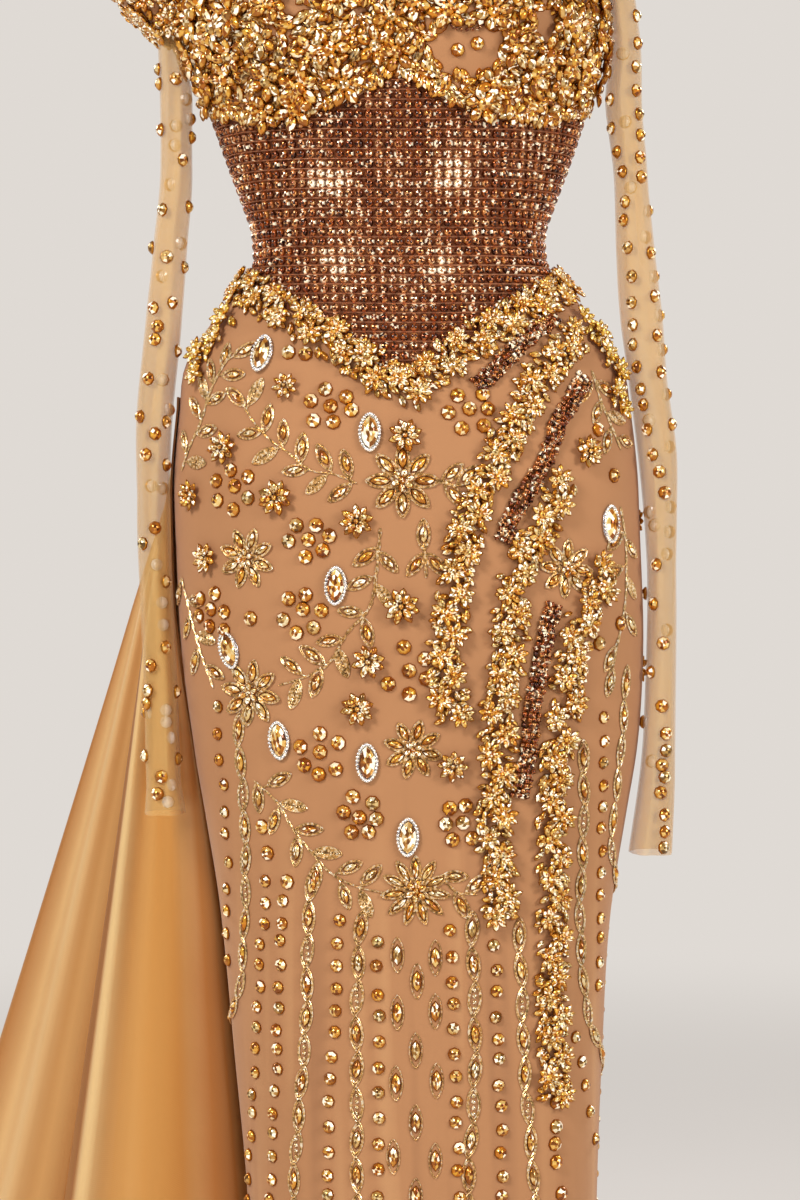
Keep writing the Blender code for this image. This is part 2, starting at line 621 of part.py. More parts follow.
def make_trims():
    """Garlands, cascades, bronze trails, brooches and rosettes, all lying on the panels."""
    for name, (start, end) in GARLAND_ENDS.items():
        angle = np.linspace(start, end, 25)
        strip(name, angle, waist_seam(angle), GARLAND_WIDTH, GARLAND_RISE, "crystal")
    for name, line in HIP_GARLANDS.items():
        angle, z = np.array(line, float).T
        strip(name, angle, z, HIP_GARLAND_WIDTH, GARLAND_RISE, "crystal")
    for name, line in CASCADES.items():
        angle, z = seen_at(*np.array(line, float).T)
        strip(name, angle, z, CASCADE_WIDTH, CASCADE_RISE, "crystal")
    for name, line in BRONZE_TRAILS.items():
        angle, z = seen_at(*np.array(line, float).T)
        strip(name, angle, z, BRONZE_WIDTH, BRONZE_RISE, "bronze_mesh", 16.0)
    turns = np.linspace(0, 2 * math.pi, BROOCH_SIDES, endpoint=False)
    navette = np.stack(
        [
            BROOCH_HALF_WIDTH * np.sign(np.cos(turns)) * np.abs(np.cos(turns)) ** 1.3,
            BROOCH_HALF_HEIGHT * np.sin(turns),
        ],
        axis=-1,
    )
    rings = [(1, 0.45 * BROOCH_RISE), (0.8, 0.7 * BROOCH_RISE), (0.45, BROOCH_RISE), (0, BROOCH_RISE)]
    for number, (across, height, turn) in enumerate(BROOCHES, 1):
        angle, z = seen_at(across, height)
        medallion(f"brooch_{number}", angle, z, turn, navette, rings, "crystal")
    turns = np.linspace(0, 2 * math.pi, 2 * ROSETTE_PETALS, endpoint=False)
    flower = np.stack([np.cos(turns), np.sin(turns)], axis=-1)
    flower *= (0.9 + 0.1 * np.cos(ROSETTE_PETALS * turns))[:, None]
    rings = [(1, 0.4 * ROSETTE_RISE), (0.6, ROSETTE_RISE), (0.3, 0.8 * ROSETTE_RISE), (0, ROSETTE_RISE)]
    for number, (across, height, radius) in enumerate(ROSETTES, 1):
        angle, z = seen_at(across, height)
        medallion(f"rosette_{number}", angle, z, 0, radius * flower, rings, "crystal")


def main():
    for old in list(bpy.data.objects):
        bpy.data.objects.remove(old)
    make_bodice()
    make_skirt()
    make_zip()
    make_sleeve("left", LEFT_SLEEVE, -1)
    make_sleeve("right", RIGHT_SLEEVE, 1)
    make_train()
    make_trims()


main()
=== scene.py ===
"""Column evening dress: its cloth, stones, embroidery and studio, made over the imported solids."""

import math

import bpy
import numpy as np
from bpy.props import FloatProperty, FloatVectorProperty, IntProperty, PointerProperty
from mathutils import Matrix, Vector


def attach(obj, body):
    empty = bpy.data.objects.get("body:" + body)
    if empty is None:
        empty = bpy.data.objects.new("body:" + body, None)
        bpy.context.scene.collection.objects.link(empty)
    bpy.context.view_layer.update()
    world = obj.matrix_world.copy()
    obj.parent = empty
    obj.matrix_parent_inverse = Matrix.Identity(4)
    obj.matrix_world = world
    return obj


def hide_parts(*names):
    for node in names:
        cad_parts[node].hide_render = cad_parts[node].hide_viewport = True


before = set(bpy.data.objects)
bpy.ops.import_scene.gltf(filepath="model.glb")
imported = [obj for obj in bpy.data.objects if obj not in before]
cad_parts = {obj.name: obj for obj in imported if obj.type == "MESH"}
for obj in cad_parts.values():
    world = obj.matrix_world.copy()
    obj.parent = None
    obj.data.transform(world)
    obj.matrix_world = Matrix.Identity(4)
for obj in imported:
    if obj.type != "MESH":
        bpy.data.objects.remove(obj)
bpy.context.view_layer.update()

bl_info = {
    "name": "Column evening dress",
    "version": (1, 0, 0),
    "blender": (4, 5, 0),
    "location": "3D View > Sidebar > Dress",
    "description": "Builds the cloth, stones and embroidery of a column evening dress",
    "category": "Object",
}

# Lengths are in millimetres up to the meshes. +Z is up, -Y is the front, and an angle is measured round the
# body from the centre front towards +X.
MM = 0.001
SEAM_GAP, WALL, CUP_WALL, SATIN_WALL, TULLE_WALL, LIFT = 0.3, 2.0, 2.6, 1.5, 1.0, 0.8
HEM_Z = -1080.0
BUST_APEX_X, BUST_APEX_Z, BUST_RISE, BUST_SPREAD_X, BUST_SPREAD_Z = 84.0, 168.0, 30.0, 42.0, 44.0
SECTION_POWER = 2.15
VIEW_DISTANCE, VIEW_Z = 2163.0, -267.0

# Sections of the body of the dress: height, half width, depth in front, depth behind, middle of the width
SECTIONS = np.array(
    [
        (300, 146, 80, 92, -5), (262, 152, 88, 95, -5), (225, 157, 95, 97, -6), (190, 160, 98, 97, -7),
        (150, 157, 96, 94, -5), (112, 145, 92, 90, -2), (62, 128, 86, 82, -1), (35, 118, 82, 77, -1),
        (12, 110.5, 80, 74, -1), (-8, 110, 81, 75, 0), (-30, 124, 84, 80, 2), (-57, 147, 88, 90, 3),
        (-87, 166, 94, 104, 3), (-125, 172, 99, 117, 4), (-190, 177, 104, 128, 5), (-267, 177, 102, 120, 8),
        (-320, 175, 99, 110, 10), (-385, 168, 96, 98, 12), (-426, 161, 93, 92, 12), (-501, 149, 90, 88, 12),
        (-614, 140, 86, 86, 14), (-724, 133, 84, 88, 17), (-850, 131, 86, 94, 18), (-1000, 136, 94, 104, 18),
        (-1080, 143, 101, 113, 18),
    ],
    float,
)
# Seam and edge lines: angle from the centre front, height
WAIST_SEAM = [
    (0, -112), (11, -100), (22, -86), (32, -73), (43, -61), (54, -48), (69, -35), (90, -26), (120, -24),
    (150, -34), (180, -52),
]
CUP_EDGE = [(0, 119), (10, 108), (20, 99), (29, 93), (38, 88), (49, 85), (61, 86), (74, 94), (90, 105)]
NECKLINE = [(0, 208), (14, 232), (30, 256), (46, 264), (64, 254), (80, 241), (90, 236)]
BACK_NECKLINE = [(90, 236), (110, 222), (135, 200), (160, 186), (180, 182)]

# Hanging sleeves: height, middle of the width, half width, half depth
LEFT_SLEEVE = np.array(
    [
        (161, -174.5, 9.5, 28), (136, -172, 11, 29), (116, -170, 12.5, 30), (60, -170, 12, 31),
        (0, -175, 12.6, 31), (-60, -180.5, 14, 32), (-128, -187, 13.5, 32), (-200, -187.5, 12.6, 31),
        (-262, -185, 12.4, 31), (-337, -182, 13, 31), (-402, -180.5, 13, 32), (-429, -179, 15.8, 33),
    ],
    float,
)
RIGHT_SLEEVE = np.array(
    [
        (199, 167, 11.5, 28), (145, 171.5, 12, 29), (114, 170, 13.7, 30), (60, 175, 13, 31),
        (0, 179, 14.5, 31), (-55, 184, 16, 32), (-101, 189, 14.8, 32), (-155, 196, 14.6, 32),
        (-200, 198, 12.5, 31), (-262, 199, 11, 31), (-337, 198, 11.5, 31), (-402, 196, 13.6, 32),
        (-459, 191, 16.5, 33),
    ],
    float,
)
SLEEVE_MIDDLE_Y, SLEEVE_FOLD, SLEEVE_HEAD_TOP_Z, SLEEVE_HEAD_WALL = -6.0, 0.13, 272.0, 2.4
SLEEVE_HEAD = np.array([(0, 0, 0), (0.12, 6, 5), (0.25, 14, 12), (0.5, 26, 20), (1, 36, 26)], float)

# The train's folds: angle on the hip, where the fold meets the floor, where the hem lies on the floor. The
# last one tucks behind the skirt.
TRAIN_FOLDS = np.array(
    [
        (-210, 112, 176, 126, 196), (-203, 176, 300, 196, 330), (-195, 84, 330, 180, 440),
        (-187, 80, 480, 120, 560), (-178, -12, 420, 30, 640), (-169, -104, 560, -80, 700),
        (-160, -164, 440, -190, 716), (-151, -310, 520, -304, 690), (-142, -276, 376, -396, 620),
        (-132, -440, 390, -470, 530), (-122, -340, 268, -526, 420), (-109, -476, 214, -536, 286),
        (-103, -330, 150, -420, 186), (-98, -300, 100, -316, 112), (-94, -112, 92, -116, 96),
        (-90, -56, 122, -58, 126),
    ],
    float,
)
TRAIN_TOP = [(-210, -90), (-180, -76), (-150, -82), (-120, -98), (-94, -112)]
TRAIN_ROWS = [
    (0, 0), (0.06, 0), (0.14, 0), (0.24, 0), (0.36, 0), (0.5, 0), (0.64, 0), (0.78, 0), (0.9, 0.02),
    (0.97, 0.12), (0.995, 0.45), (1, 1),
]
TRAIN_CLEAR, TRAIN_SOFTNESS = 1.2, 22.0

# Small rolls between the last folds: place along the folds, width, rise outwards
TRAIN_FRONT_ROLLS = [
    (11.22, 0.1, 9.0), (11.42, 0.1, -8.0), (11.62, 0.1, 9.0), (11.95, 0.14, -16.0), (12.35, 0.2, -8.0),
    (13.04, 0.11, 15.0), (13.34, 0.14, -10.0), (13.6, 0.14, 8.0),
]

# Painted light and shade of the satin across the front folds, highlights on the rolls and shadow towards the
# skirt: place along TRAIN_FOLDS, colour
SATIN_LIGHT_AND_SHADE = [
    (11.0, (176, 116, 66)), (11.25, (190, 126, 68)), (11.42, (244, 200, 138)), (11.55, (255, 220, 162)),
    (11.68, (206, 146, 82)), (11.8, (236, 184, 116)), (11.92, (176, 112, 54)), (12.1, (132, 76, 30)),
    (12.9, (150, 88, 36)), (13.0, (255, 218, 156)), (13.1, (255, 226, 164)), (13.22, (232, 174, 98)),
    (13.45, (224, 160, 80)), (13.65, (210, 138, 56)), (13.85, (180, 100, 28)), (14.2, (128, 66, 14)),
    (15.0, (104, 54, 14)),
]

# Soft studio lights: name, place in metres, size in metres, power in watts
LIGHTS = [
    ("key", (-1.7, -2.4, 1.6), 0.9, 72.0), ("fill", (2.3, -2.0, 0.7), 1.1, 44.0),
    ("rim_left", (-2.1, 1.6, 1.2), 0.9, 34.0), ("rim_right", (2.0, 1.8, 1.3), 0.9, 30.0),
]
LIGHTS_AIM = (0, 0, -0.35)
# The round floor, and the distances in metres between which its colour fades into the backdrop
FLOOR_RADIUS = 30000.0
FLOOR_FADE = (1.2, 4.6)

# Trims on the front, as they are seen from the viewpoint: across and height on the plane through the middle
CASCADES = {
    "cascade_inner": [
        (134, -66), (119, -80), (103, -102), (93, -122), (79, -149), (66, -176), (53, -206), (47, -229),
        (42, -260), (37, -290), (36, -317), (38, -344), (42, -356),
    ],
    "cascade_middle": [
        (124, -178), (116, -195), (105, -214), (93, -237), (87, -263), (84, -290), (82, -317), (76, -344),
        (74, -370), (74, -397), (73, -458), (77, -485), (76, -508),
    ],
    "cascade_outer": [
        (156, -243), (148, -263), (137, -286), (131, -309), (127, -336), (122, -366), (118, -397),
        (117, -427), (117, -466), (116, -496), (115, -557), (115, -588), (116, -618), (117, -645),
    ],
}
BRONZE_TRAILS = {
    "bronze_trail_upper": [(116, -50), (109, -57), (97, -67), (85, -79), (73, -91), (59, -104)],
    "bronze_trail_middle": [
        (140, -98), (130, -116), (121, -130), (115, -149), (108, -165), (95, -187), (86, -202), (78, -221),
    ],
    "bronze_trail_lower": [
        (117, -271), (111, -292), (108, -309), (104, -334), (100, -353), (99, -374), (96, -392), (91, -416),
    ],
}
GARLAND_ENDS = {
    "waist_garland_front": (-89.0, 89.0),
    "waist_garland_back_left": (-176.0, -91.0),
    "waist_garland_back_right": (91.0, 176.0),
}
HIP_GARLANDS = {
    "hip_garland_left": [(-71, -58), (-73, -70), (-74.5, -82), (-75, -98)],
    "hip_garland_right": [(73, -57), (75, -74), (76, -94), (75.5, -124)],
}
# Rimmed brooches: across, height, turn. Raised rosettes: across, height, radius.
BROOCHES = [
    (-105, -79, 10), (-23, -139, 0), (-49, -256, 3), (-130, -305, -15),
    (-92, -374, -4), (-25, -391, 0), (6, -448, 2), (160, -209, 0),
]
ROSETTES = [
    (-87, -104, 10.5), (4, -142, 13), (-134, -151, 13), (-158, -187, 12), (-94, -189, 14), (-33, -207, 13),
    (-147, -235, 12), (1, -272, 14), (-24, -314, 13), (-32, -350, 13), (40, -394, 12), (142, -154, 13),
]
# Flat star flowers: across, height, radius, petals, turn
STARS = [
    (2, -176, 27, 8, 0), (-117, -235, 23, 8, 20), (-114, -338, 25, 8, 10), (12, -489, 26, 11, 0),
    (10, -381, 22, 8, 15), (127, -243, 22, 8, 5),
]
# Large round stones: across, height
ROUND_STONES = [
    (-57, -106), (-68, -115), (-41, -112), (-53, -119), (-37, -122), (-66, -130), (-51, -131), (-85, -78),
    (-72, -79), (44, -111), (63, -110), (37, -124), (53, -121), (67, -121), (47, -136), (64, -134),
    (-129, -168), (-140, -176), (-116, -173), (-126, -180), (-116, -189), (-139, -191), (-127, -198),
    (-79, -210), (-64, -210), (-85, -222), (-70, -221), (-54, -218), (-59, -229), (-72, -234), (-85, -266),
    (-72, -263), (-74, -274), (-60, -275), (-89, -282), (-79, -292), (-66, -288), (-152, -266), (-141, -262),
    (-144, -274), (-134, -276), (-153, -279), (-145, -287), (-134, -290), (-114, -281), (3, -303),
    (19, -312), (7, -321), (20, -327), (-9, -331), (7, -339), (-61, -369), (-76, -379), (-47, -376),
    (-61, -383), (-73, -393), (-62, -400), (-49, -396), (-36, -417), (-21, -422), (-43, -429), (-31, -433),
    (-18, -434), (-37, -444), (-24, -444), (50, -424), (38, -426), (35, -438), (48, -437), (40, -450),
    (55, -449), (-105, -440), (-101, -460), (-86, -482), (119, -650), (119, -669), (118, -682), (119, -696),
    (123, -720), (120, -745), (121, -770), (151, -137), (163, -172), (161, -262), (168, -285), (152, -300),
]
# Rows of round stones: start and end across and height, how many
STONE_ROWS = [
    (-139, -348, -131, -466, 7), (-131, -486, -135, -738, 15), (-103, -482, -116, -740, 17),
    (-89, -496, -99, -740, 16), (-47, -510, -57, -740, 14), (-17, -528, -17, -740, 12),
    (38, -521, 46, -740, 13), (72, -532, 79, -740, 13), (133, -600, 153, -698, 6),
    (155, -356, 151, -560, 13),
    (162, -520, 165, -640, 6),
]
# Sprays: a thread stem, then the leaves beside it, each as across, height
SPRAYS = [
    (
        [(-33, -178), (-50, -171), (-68, -168), (-86, -154), (-101, -143), (-115, -126), (-122, -111)],
        [
            (-41, -163), (-58, -158), (-46, -185), (-64, -179), (-75, -151), (-80, -168), (-89, -139),
            (-103, -157), (-101, -128), (-115, -140), (-125, -112), (-110, -108),
        ],
    ),
    (
        [(-166, -168), (-160, -150), (-152, -132), (-146, -112), (-138, -94), (-128, -78)],
        [
            (-156, -120), (-147, -138), (-140, -113), (-150, -104), (-133, -80), (-117, -76), (-164, -146),
            (-155, -162), (-144, -92), (-127, -95),
        ],
    ),
    (
        [(-15, -212), (-18, -246), (-23, -272), (-40, -292), (-56, -317), (-76, -327), (-92, -332)],
        [
            (-26, -234), (-9, -238), (-31, -254), (-12, -264), (-38, -276), (-25, -292), (-54, -298),
            (-44, -315), (-67, -309), (-64, -330), (-83, -317), (-80, -339),
        ],
    ),
    (
        [(-111, -405), (-94, -421), (-82, -441), (-67, -460), (-52, -476), (-32, -486), (-10, -491)],
        [
            (-108, -418), (-92, -404), (-96, -436), (-81, -424), (-79, -459), (-69, -442), (-64, -478),
            (-55, -460), (-38, -471), (-42, -493), (-22, -477), (-26, -499),
        ],
    ),
    ([(30, -478), (44, -490), (58, -492)], [(42, -478), (47, -500), (58, -484)]),
    ([(18, -212), (19, -232), (20, -250)], [(12, -240), (28, -240), (18, -217)]),
    ([(24, -176), (42, -179), (52, -178)], [(40, -170), (42, -187), (52, -172)]),
    (
        [(-166, -250), (-160, -276), (-152, -306), (-142, -334)],
        [(-168, -262), (-156, -268), (-162, -288), (-148, -296), (-156, -314), (-141, -322)],
    ),
    (
        [(146, -92), (152, -112), (160, -132), (168, -152)],
        [(141, -108), (157, -106), (150, -124), (165, -128), (158, -146), (172, -146)],
    ),
    (
        [(168, -196), (172, -226), (172, -262), (166, -300)],
        [(164, -222), (176, -228), (163, -246), (176, -258), (160, -312), (176, -286), (160, -330)],
    ),
]
# Chains of leaves on the lower skirt: across and height down the line
LEAF_CHAINS = [
    [(-123, -366), (-118, -446), (-119, -524), (-124, -572), (-128, -606), (-132, -660), (-138, -740)],
    [(-67, -484), (-70, -515), (-71, -565), (-72, -595), (-76, -647), (-80, -697), (-84, -760)],
    [(-30, -517), (-33, -572), (-33, -640), (-33, -697), (-34, -760)],
    [(55, -518), (57, -580), (57, -634), (53, -697), (50, -760)],
    [(91, -523), (93, -570), (95, -626), (101, -698), (104, -760)],
    [(140, -387), (140, -438), (138, -534), (147, -596), (153, -640)],
    [(172, -330), (170, -362), (166, -403), (162, -466), (163, -500)],
]
# Single navettes between the chains, in three columns
CENTRE_NAVETTES = [
    (-2, -538), (13, -558), (27, -540), (-2, -582), (27, -581), (12, -611), (-3, -636), (28, -634),
    (12, -666), (-5, -692), (27, -695), (12, -722), (-4, -748), (27, -750),
]
# Stones on the sleeves as they are seen: across and height, front layer and back layer
LEFT_SLEEVE_FRONT = [
    (-171, 131), (-184, 138), (-183, 127), (-182, 92), (-157, 86), (-166, 69), (-181, 31), (-162, 33),
    (-192, 2), (-178, -5), (-161, -13), (-174, -40), (-188, -44), (-185, -58), (-187, -68), (-170, -77),
    (-192, -98), (-179, -131), (-198, -127), (-187, -140), (-194, -156), (-179, -164), (-187, -212),
    (-196, -224), (-179, -253), (-179, -303), (-190, -317), (-192, -336), (-193, -346), (-171, -337),
    (-194, -386), (-168, -388), (-182, -402), (-185, -415),
]
LEFT_SLEEVE_BACK = [
    (-163, 115), (-160, 100), (-171, 95), (-172, 80), (-167, 5), (-181, -99), (-176, -122), (-181, -182),
    (-181, -269), (-180, -286), (-178, -351), (-178, -360), (-173, -372), (-195, -353), (-173, -408),
    (-177, -421), (-176, 50), (-182, -20), (-190, -180), (-186, -240),
]
RIGHT_SLEEVE_FRONT = [
    (158, 154), (159, 136), (161, 115), (162, 93), (166, 75), (170, 60), (172, 37), (171, 23), (174, 2),
    (177, -20), (177, -40), (178, -57), (178, -72), (181, -89), (184, -106), (186, -118), (189, -137),
    (193, -156), (198, -169), (202, -185), (200, -348), (203, -369), (203, -382), (200, -393), (202, -402),
    (199, -414), (202, -431), (202, -444), (201, -456), (180, 179), (181, 158), (180, 140), (180, 122),
    (182, 104), (183, 88), (183, 71), (184, 56), (191, -2), (194, -35), (196, -65), (199, -93), (207, -133),
    (196, -240), (194, -270), (201, -300), (192, -322),
]
RIGHT_SLEEVE_BACK = [
    (190, 30), (188, 10), (194, -20), (198, -50), (202, -76), (205, -110), (206, -150), (207, -196),
    (206, -215), (204, -232), (190, -200), (188, -262), (204, -290), (192, -390), (186, -360), (170, 150),
    (172, 98), (176, 48), (190, -130), (194, -210),
]
# Where the waist stones glint most, as seen: across, height, half width, half height
WAIST_GLINTS = [(-57, 53, 22, 11), (42, 58, 15, 16), (-46, -8, 14, 11), (31, -15, 10, 11)]
# The pale light of the studio all round
BACKDROP_COLOUR, WORLD_COLOUR, WORLD_STRENGTH = (0.74, 0.7, 0.66, 1.0), (0.9, 0.84, 0.8, 1.0), 0.42
# Bare net left in the crystal cover of the cups, as seen: across, height, half width, half height
CUP_OPENINGS = [(51, 155, 28, 20), (-86, 189, 11, 8), (111, 174, 7, 17)]


# Reading the cut


def smooth(table_x, table_y, x):
    """Cubic curve through a table's rows: a row's slope is its neighbours' mean, or flat at a turn."""
    order = np.argsort(table_x)
    xs, ys = np.asarray(table_x, float)[order], np.asarray(table_y, float)[order]
    steps = np.diff(xs)
    slopes = np.diff(ys) / steps
    tangents = np.concatenate([slopes[:1], (slopes[1:] + slopes[:-1]) / 2, slopes[-1:]])
    turns = np.concatenate([[False], slopes[1:] * slopes[:-1] <= 0, [False]])
    tangents = np.where(turns, 0.0, tangents)
    x = np.clip(x, xs[0], xs[-1])
    k = np.clip(np.searchsorted(xs, x, side="right") - 1, 0, len(steps) - 1)
    t = (x - xs[k]) / steps[k]
    rise_start, rise_end = tangents[k] * steps[k], tangents[k + 1] * steps[k]
    return (
        (2 * t**3 - 3 * t**2 + 1) * ys[k]
        + (t**3 - 2 * t**2 + t) * rise_start
        + (3 * t**2 - 2 * t**3) * ys[k + 1]
        + (t**3 - t**2) * rise_end
    )


def section(z):
    return [smooth(SECTIONS[:, 0], SECTIONS[:, c], z) for c in (1, 2, 3, 4)]


def line_height(line, angle):
    """Height of a seam or edge line at an angle, the same on both sides."""
    folded = np.abs((np.asarray(angle, float) + 180.0) % 360.0 - 180.0)
    angles, heights = np.array(line, float).T
    return smooth(angles, heights, folded)


def body_radius(angle, z):
    """Superellipse (x/width)^p + (y/depth)^p = 1 at each height, with a bell-shaped rise at each apex."""
    half_width, front, back, _ = section(z)
    turn = np.radians(angle)
    depth = np.where(np.cos(turn) > 0, front, back)
    across = (np.abs(np.sin(turn)) / half_width) ** SECTION_POWER
    along = (np.abs(np.cos(turn)) / depth) ** SECTION_POWER
    radius = (across + along) ** (-1 / SECTION_POWER)
    side = (np.abs(radius * np.sin(turn)) - BUST_APEX_X) / BUST_SPREAD_X
    height = (z - BUST_APEX_Z) / BUST_SPREAD_Z
    return radius + BUST_RISE * np.clip(np.cos(turn), 0, 1) * np.exp(-(side**2 + height**2) / 2)


def bare_point(angle, z):
    turn = np.radians(angle)
    radius = body_radius(angle, z)
    middle = section(z)[3]
    return np.stack([middle + radius * np.sin(turn), -radius * np.cos(turn), z + 0 * radius], axis=-1)


def unit(vectors):
    return vectors / np.linalg.norm(vectors, axis=-1, keepdims=True)


def places_at(angle, z, out=0.0):
    """Places on the dress: point, and the directions round, up and outwards, moved out by a distance."""
    angle, z = np.broadcast_arrays(np.asarray(angle, float), np.asarray(z, float))
    by_angle = bare_point(angle + 0.2, z) - bare_point(angle - 0.2, z)
    by_z = bare_point(angle, z + 0.5) - bare_point(angle, z - 0.5)
    outward = unit(np.cross(by_angle, by_z))
    round_way = unit(by_angle)
    point = bare_point(angle, z) + outward * np.broadcast_to(out, angle.shape)[..., None]
    return point, round_way, np.cross(outward, round_way), outward


def stretch_at(angle, z):
    """Millimetres along the surface for a degree and for a millimetre of height."""
    by_angle = bare_point(angle + 0.2, z) - bare_point(angle - 0.2, z)
    by_z = bare_point(angle, z + 0.5) - bare_point(angle, z - 0.5)
    return np.linalg.norm(by_angle, axis=-1) / 0.4, np.linalg.norm(by_z, axis=-1)


def seen_at(across, height):
    """Angle and height of the front point that is seen at a place from the viewpoint, by repeating."""
    across, height = np.asarray(across, float), np.asarray(height, float)
    y = np.full(across.shape, -80.0)
    for _ in range(12):
        nearer = (VIEW_DISTANCE + y) / VIEW_DISTANCE
        x, z = across * nearer, VIEW_Z + (height - VIEW_Z) * nearer
        low, high = np.full(x.shape, -110.0), np.full(x.shape, 110.0)
        for _ in range(26):
            angle = (low + high) / 2
            too_far = bare_point(angle, z)[..., 0] > x
            low, high = np.where(too_far, low, angle), np.where(too_far, angle, high)
        y = (y + bare_point(angle, z)[..., 1]) / 2
    return angle, z


def seen_from_front(point):
    """Where a point is seen from the viewpoint: across and height on the plane through the middle."""
    nearer = (VIEW_DISTANCE + point[..., 1]) / VIEW_DISTANCE
    return point[..., 0] / nearer, VIEW_Z + (point[..., 2] - VIEW_Z) / nearer


def even_line(angle, z, step):
    """Points with even steps along a smooth line on the dress, and the line's turn from upright at each."""
    per_degree, per_z = stretch_at(angle, z)
    length = np.hypot(np.diff(angle) * per_degree[1:], np.diff(z) * per_z[1:])
    run = np.concatenate([[0], np.cumsum(length)])
    places = np.linspace(0, run[-1], max(3, int(round(run[-1] / step)) + 1))
    angle, z = smooth(run, angle, places), smooth(run, z, places)
    per_degree, per_z = stretch_at(angle, z)
    turn = np.degrees(np.arctan2(np.gradient(angle) * per_degree, np.gradient(z) * per_z))
    return angle, z, turn


# Meshes


def make_piece(name, points, faces, materials, slots=None, uv=None, shades=None, flat=False):
    """One mesh from whole arrays: points in millimetres, faces of equal size, values for each corner."""
    count, sides = faces.shape
    mesh = bpy.data.meshes.new(name)
    mesh.vertices.add(len(points))
    mesh.vertices.foreach_set("co", (points * MM).astype(np.float32).ravel())
    mesh.loops.add(count * sides)
    mesh.loops.foreach_set("vertex_index", faces.astype(np.int32).ravel())
    mesh.polygons.add(count)
    mesh.polygons.foreach_set("loop_start", np.arange(0, count * sides, sides, dtype=np.int32))
    if slots is not None:
        mesh.polygons.foreach_set("material_index", slots.astype(np.int32))
    mesh.update(calc_edges=True)
    if uv is not None:
        mesh.uv_layers.new(name="UVMap").data.foreach_set("uv", uv.astype(np.float32).ravel())
    if shades is not None:
        layer = mesh.attributes.new("stone", "FLOAT_COLOR", "CORNER")
        layer.data.foreach_set("color", shades.astype(np.float32).ravel())
    if not flat:
        mesh.shade_smooth()
        mesh.set_sharp_from_angle(angle=math.radians(50))
    for material in materials:
        mesh.materials.append(material)
    piece = bpy.data.objects.new(name, mesh)
    bpy.context.scene.collection.objects.link(piece)
    return piece


def cloth_piece(name, outer, inner, material, ring=False):
    """A closed wall between two grids of points. UV runs along the cloth in metres, across then up."""
    rows, columns = outer.shape[:2]
    index = np.arange(rows * columns).reshape(rows, columns)
    wrap = np.concatenate([outer, outer[:, :1]], axis=1) if ring else outer
    next_index = np.concatenate([index, index[:, :1]], axis=1) if ring else index
    across = np.concatenate(
        [np.zeros((rows, 1)), np.cumsum(np.linalg.norm(np.diff(wrap, axis=1), axis=-1), axis=1)], axis=1
    )
    across = across - across.mean(axis=1, keepdims=True)
    up = np.concatenate(
        [np.zeros((1, wrap.shape[1])), np.cumsum(np.linalg.norm(np.diff(wrap, axis=0), axis=-1), axis=0)]
    )
    grid_uv = np.stack([across, up], axis=-1) * MM

    def corners(grid):
        return np.stack([grid[:-1, :-1], grid[:-1, 1:], grid[1:, 1:], grid[1:, :-1]], axis=2)

    outside = corners(next_index).reshape(-1, 4)
    uv_outside = corners(grid_uv).reshape(-1, 4, 2)
    back = rows * columns
    faces, uvs = [outside, outside[:, ::-1] + back], [uv_outside, uv_outside[:, ::-1]]

    def edge(line, uv_line, flip):
        rim = np.stack([line[:-1], line[:-1] + back, line[1:] + back, line[1:]], axis=1)
        rim_uv = np.stack([uv_line[:-1], uv_line[:-1], uv_line[1:], uv_line[1:]], axis=1)
        faces.append(rim[:, ::-1] if flip else rim)
        uvs.append(rim_uv[:, ::-1] if flip else rim_uv)

    edge(next_index[0], grid_uv[0], False)
    edge(next_index[-1], grid_uv[-1], True)
    if not ring:
        edge(next_index[:, 0], grid_uv[:, 0], True)
        edge(next_index[:, -1], grid_uv[:, -1], False)
    points = np.concatenate([outer.reshape(-1, 3), inner.reshape(-1, 3)])
    return make_piece(name, points, np.concatenate(faces), [material], uv=np.concatenate(uvs))


def declare_cloth(outer, ring=False):
    """Takes the steps along a sheet's rows and up its columns, and does nothing more with them."""
    wrap = np.concatenate([outer, outer[:, :1]], axis=1) if ring else outer
    along, up = wrap[:-1, 1:] - wrap[:-1, :-1], wrap[1:, :-1] - wrap[:-1, :-1]


def grid_normals(grid):
    by_row, by_column = np.gradient(grid, axis=0), np.gradient(grid, axis=1)
    return unit(np.cross(by_column, by_row))


def stone_shape(outline, rings, top):
    """A cut stone: its outline scaled to each ring's share and height, closed by a fan below and above."""
    sides = len(outline)
    points = [np.zeros((1, 3))]
    for share, height in rings:
        points.append(np.column_stack([outline * share, np.full(sides, height)]))
    points.append(np.array([[0, 0, top]]))
    first = 1 + np.arange(sides)
    after = 1 + (np.arange(sides) + 1) % sides
    faces, bands, facets = [np.column_stack([0 * first, after, first])], [np.full(sides, -1)], [0 * first]
    for band in range(len(rings) - 1):
        low, high = band * sides, (band + 1) * sides
        faces.append(np.column_stack([first + low, after + low, after + high]))
        faces.append(np.column_stack([first + low, after + high, first + high]))
        for _ in range(2):
            bands.append(np.full(sides, band))
            facets.append(1 + band * sides + np.arange(sides))
    low, last = (len(rings) - 1) * sides, 1 + len(rings) * sides
    faces.append(np.column_stack([first + low, after + low, np.full(sides, last)]))
    bands.append(np.full(sides, len(rings) - 1))
    facets.append(1 + (len(rings) - 1) * sides + np.arange(sides))
    kinds = np.arange(1 + len(rings) * sides)
    angle = (kinds - 0.5) * 2 * math.pi / sides
    table = kinds > (len(rings) - 1) * sides
    return (np.concatenate(points), np.concatenate(faces), np.concatenate(bands), np.concatenate(facets)), (
        angle,
        table,
    )


def ring_outline(sides, start=0.0):
    turns = np.linspace(0, 2 * math.pi, sides, endpoint=False) + start
    return np.stack([np.sin(turns), np.cos(turns)], axis=-1)[::-1]


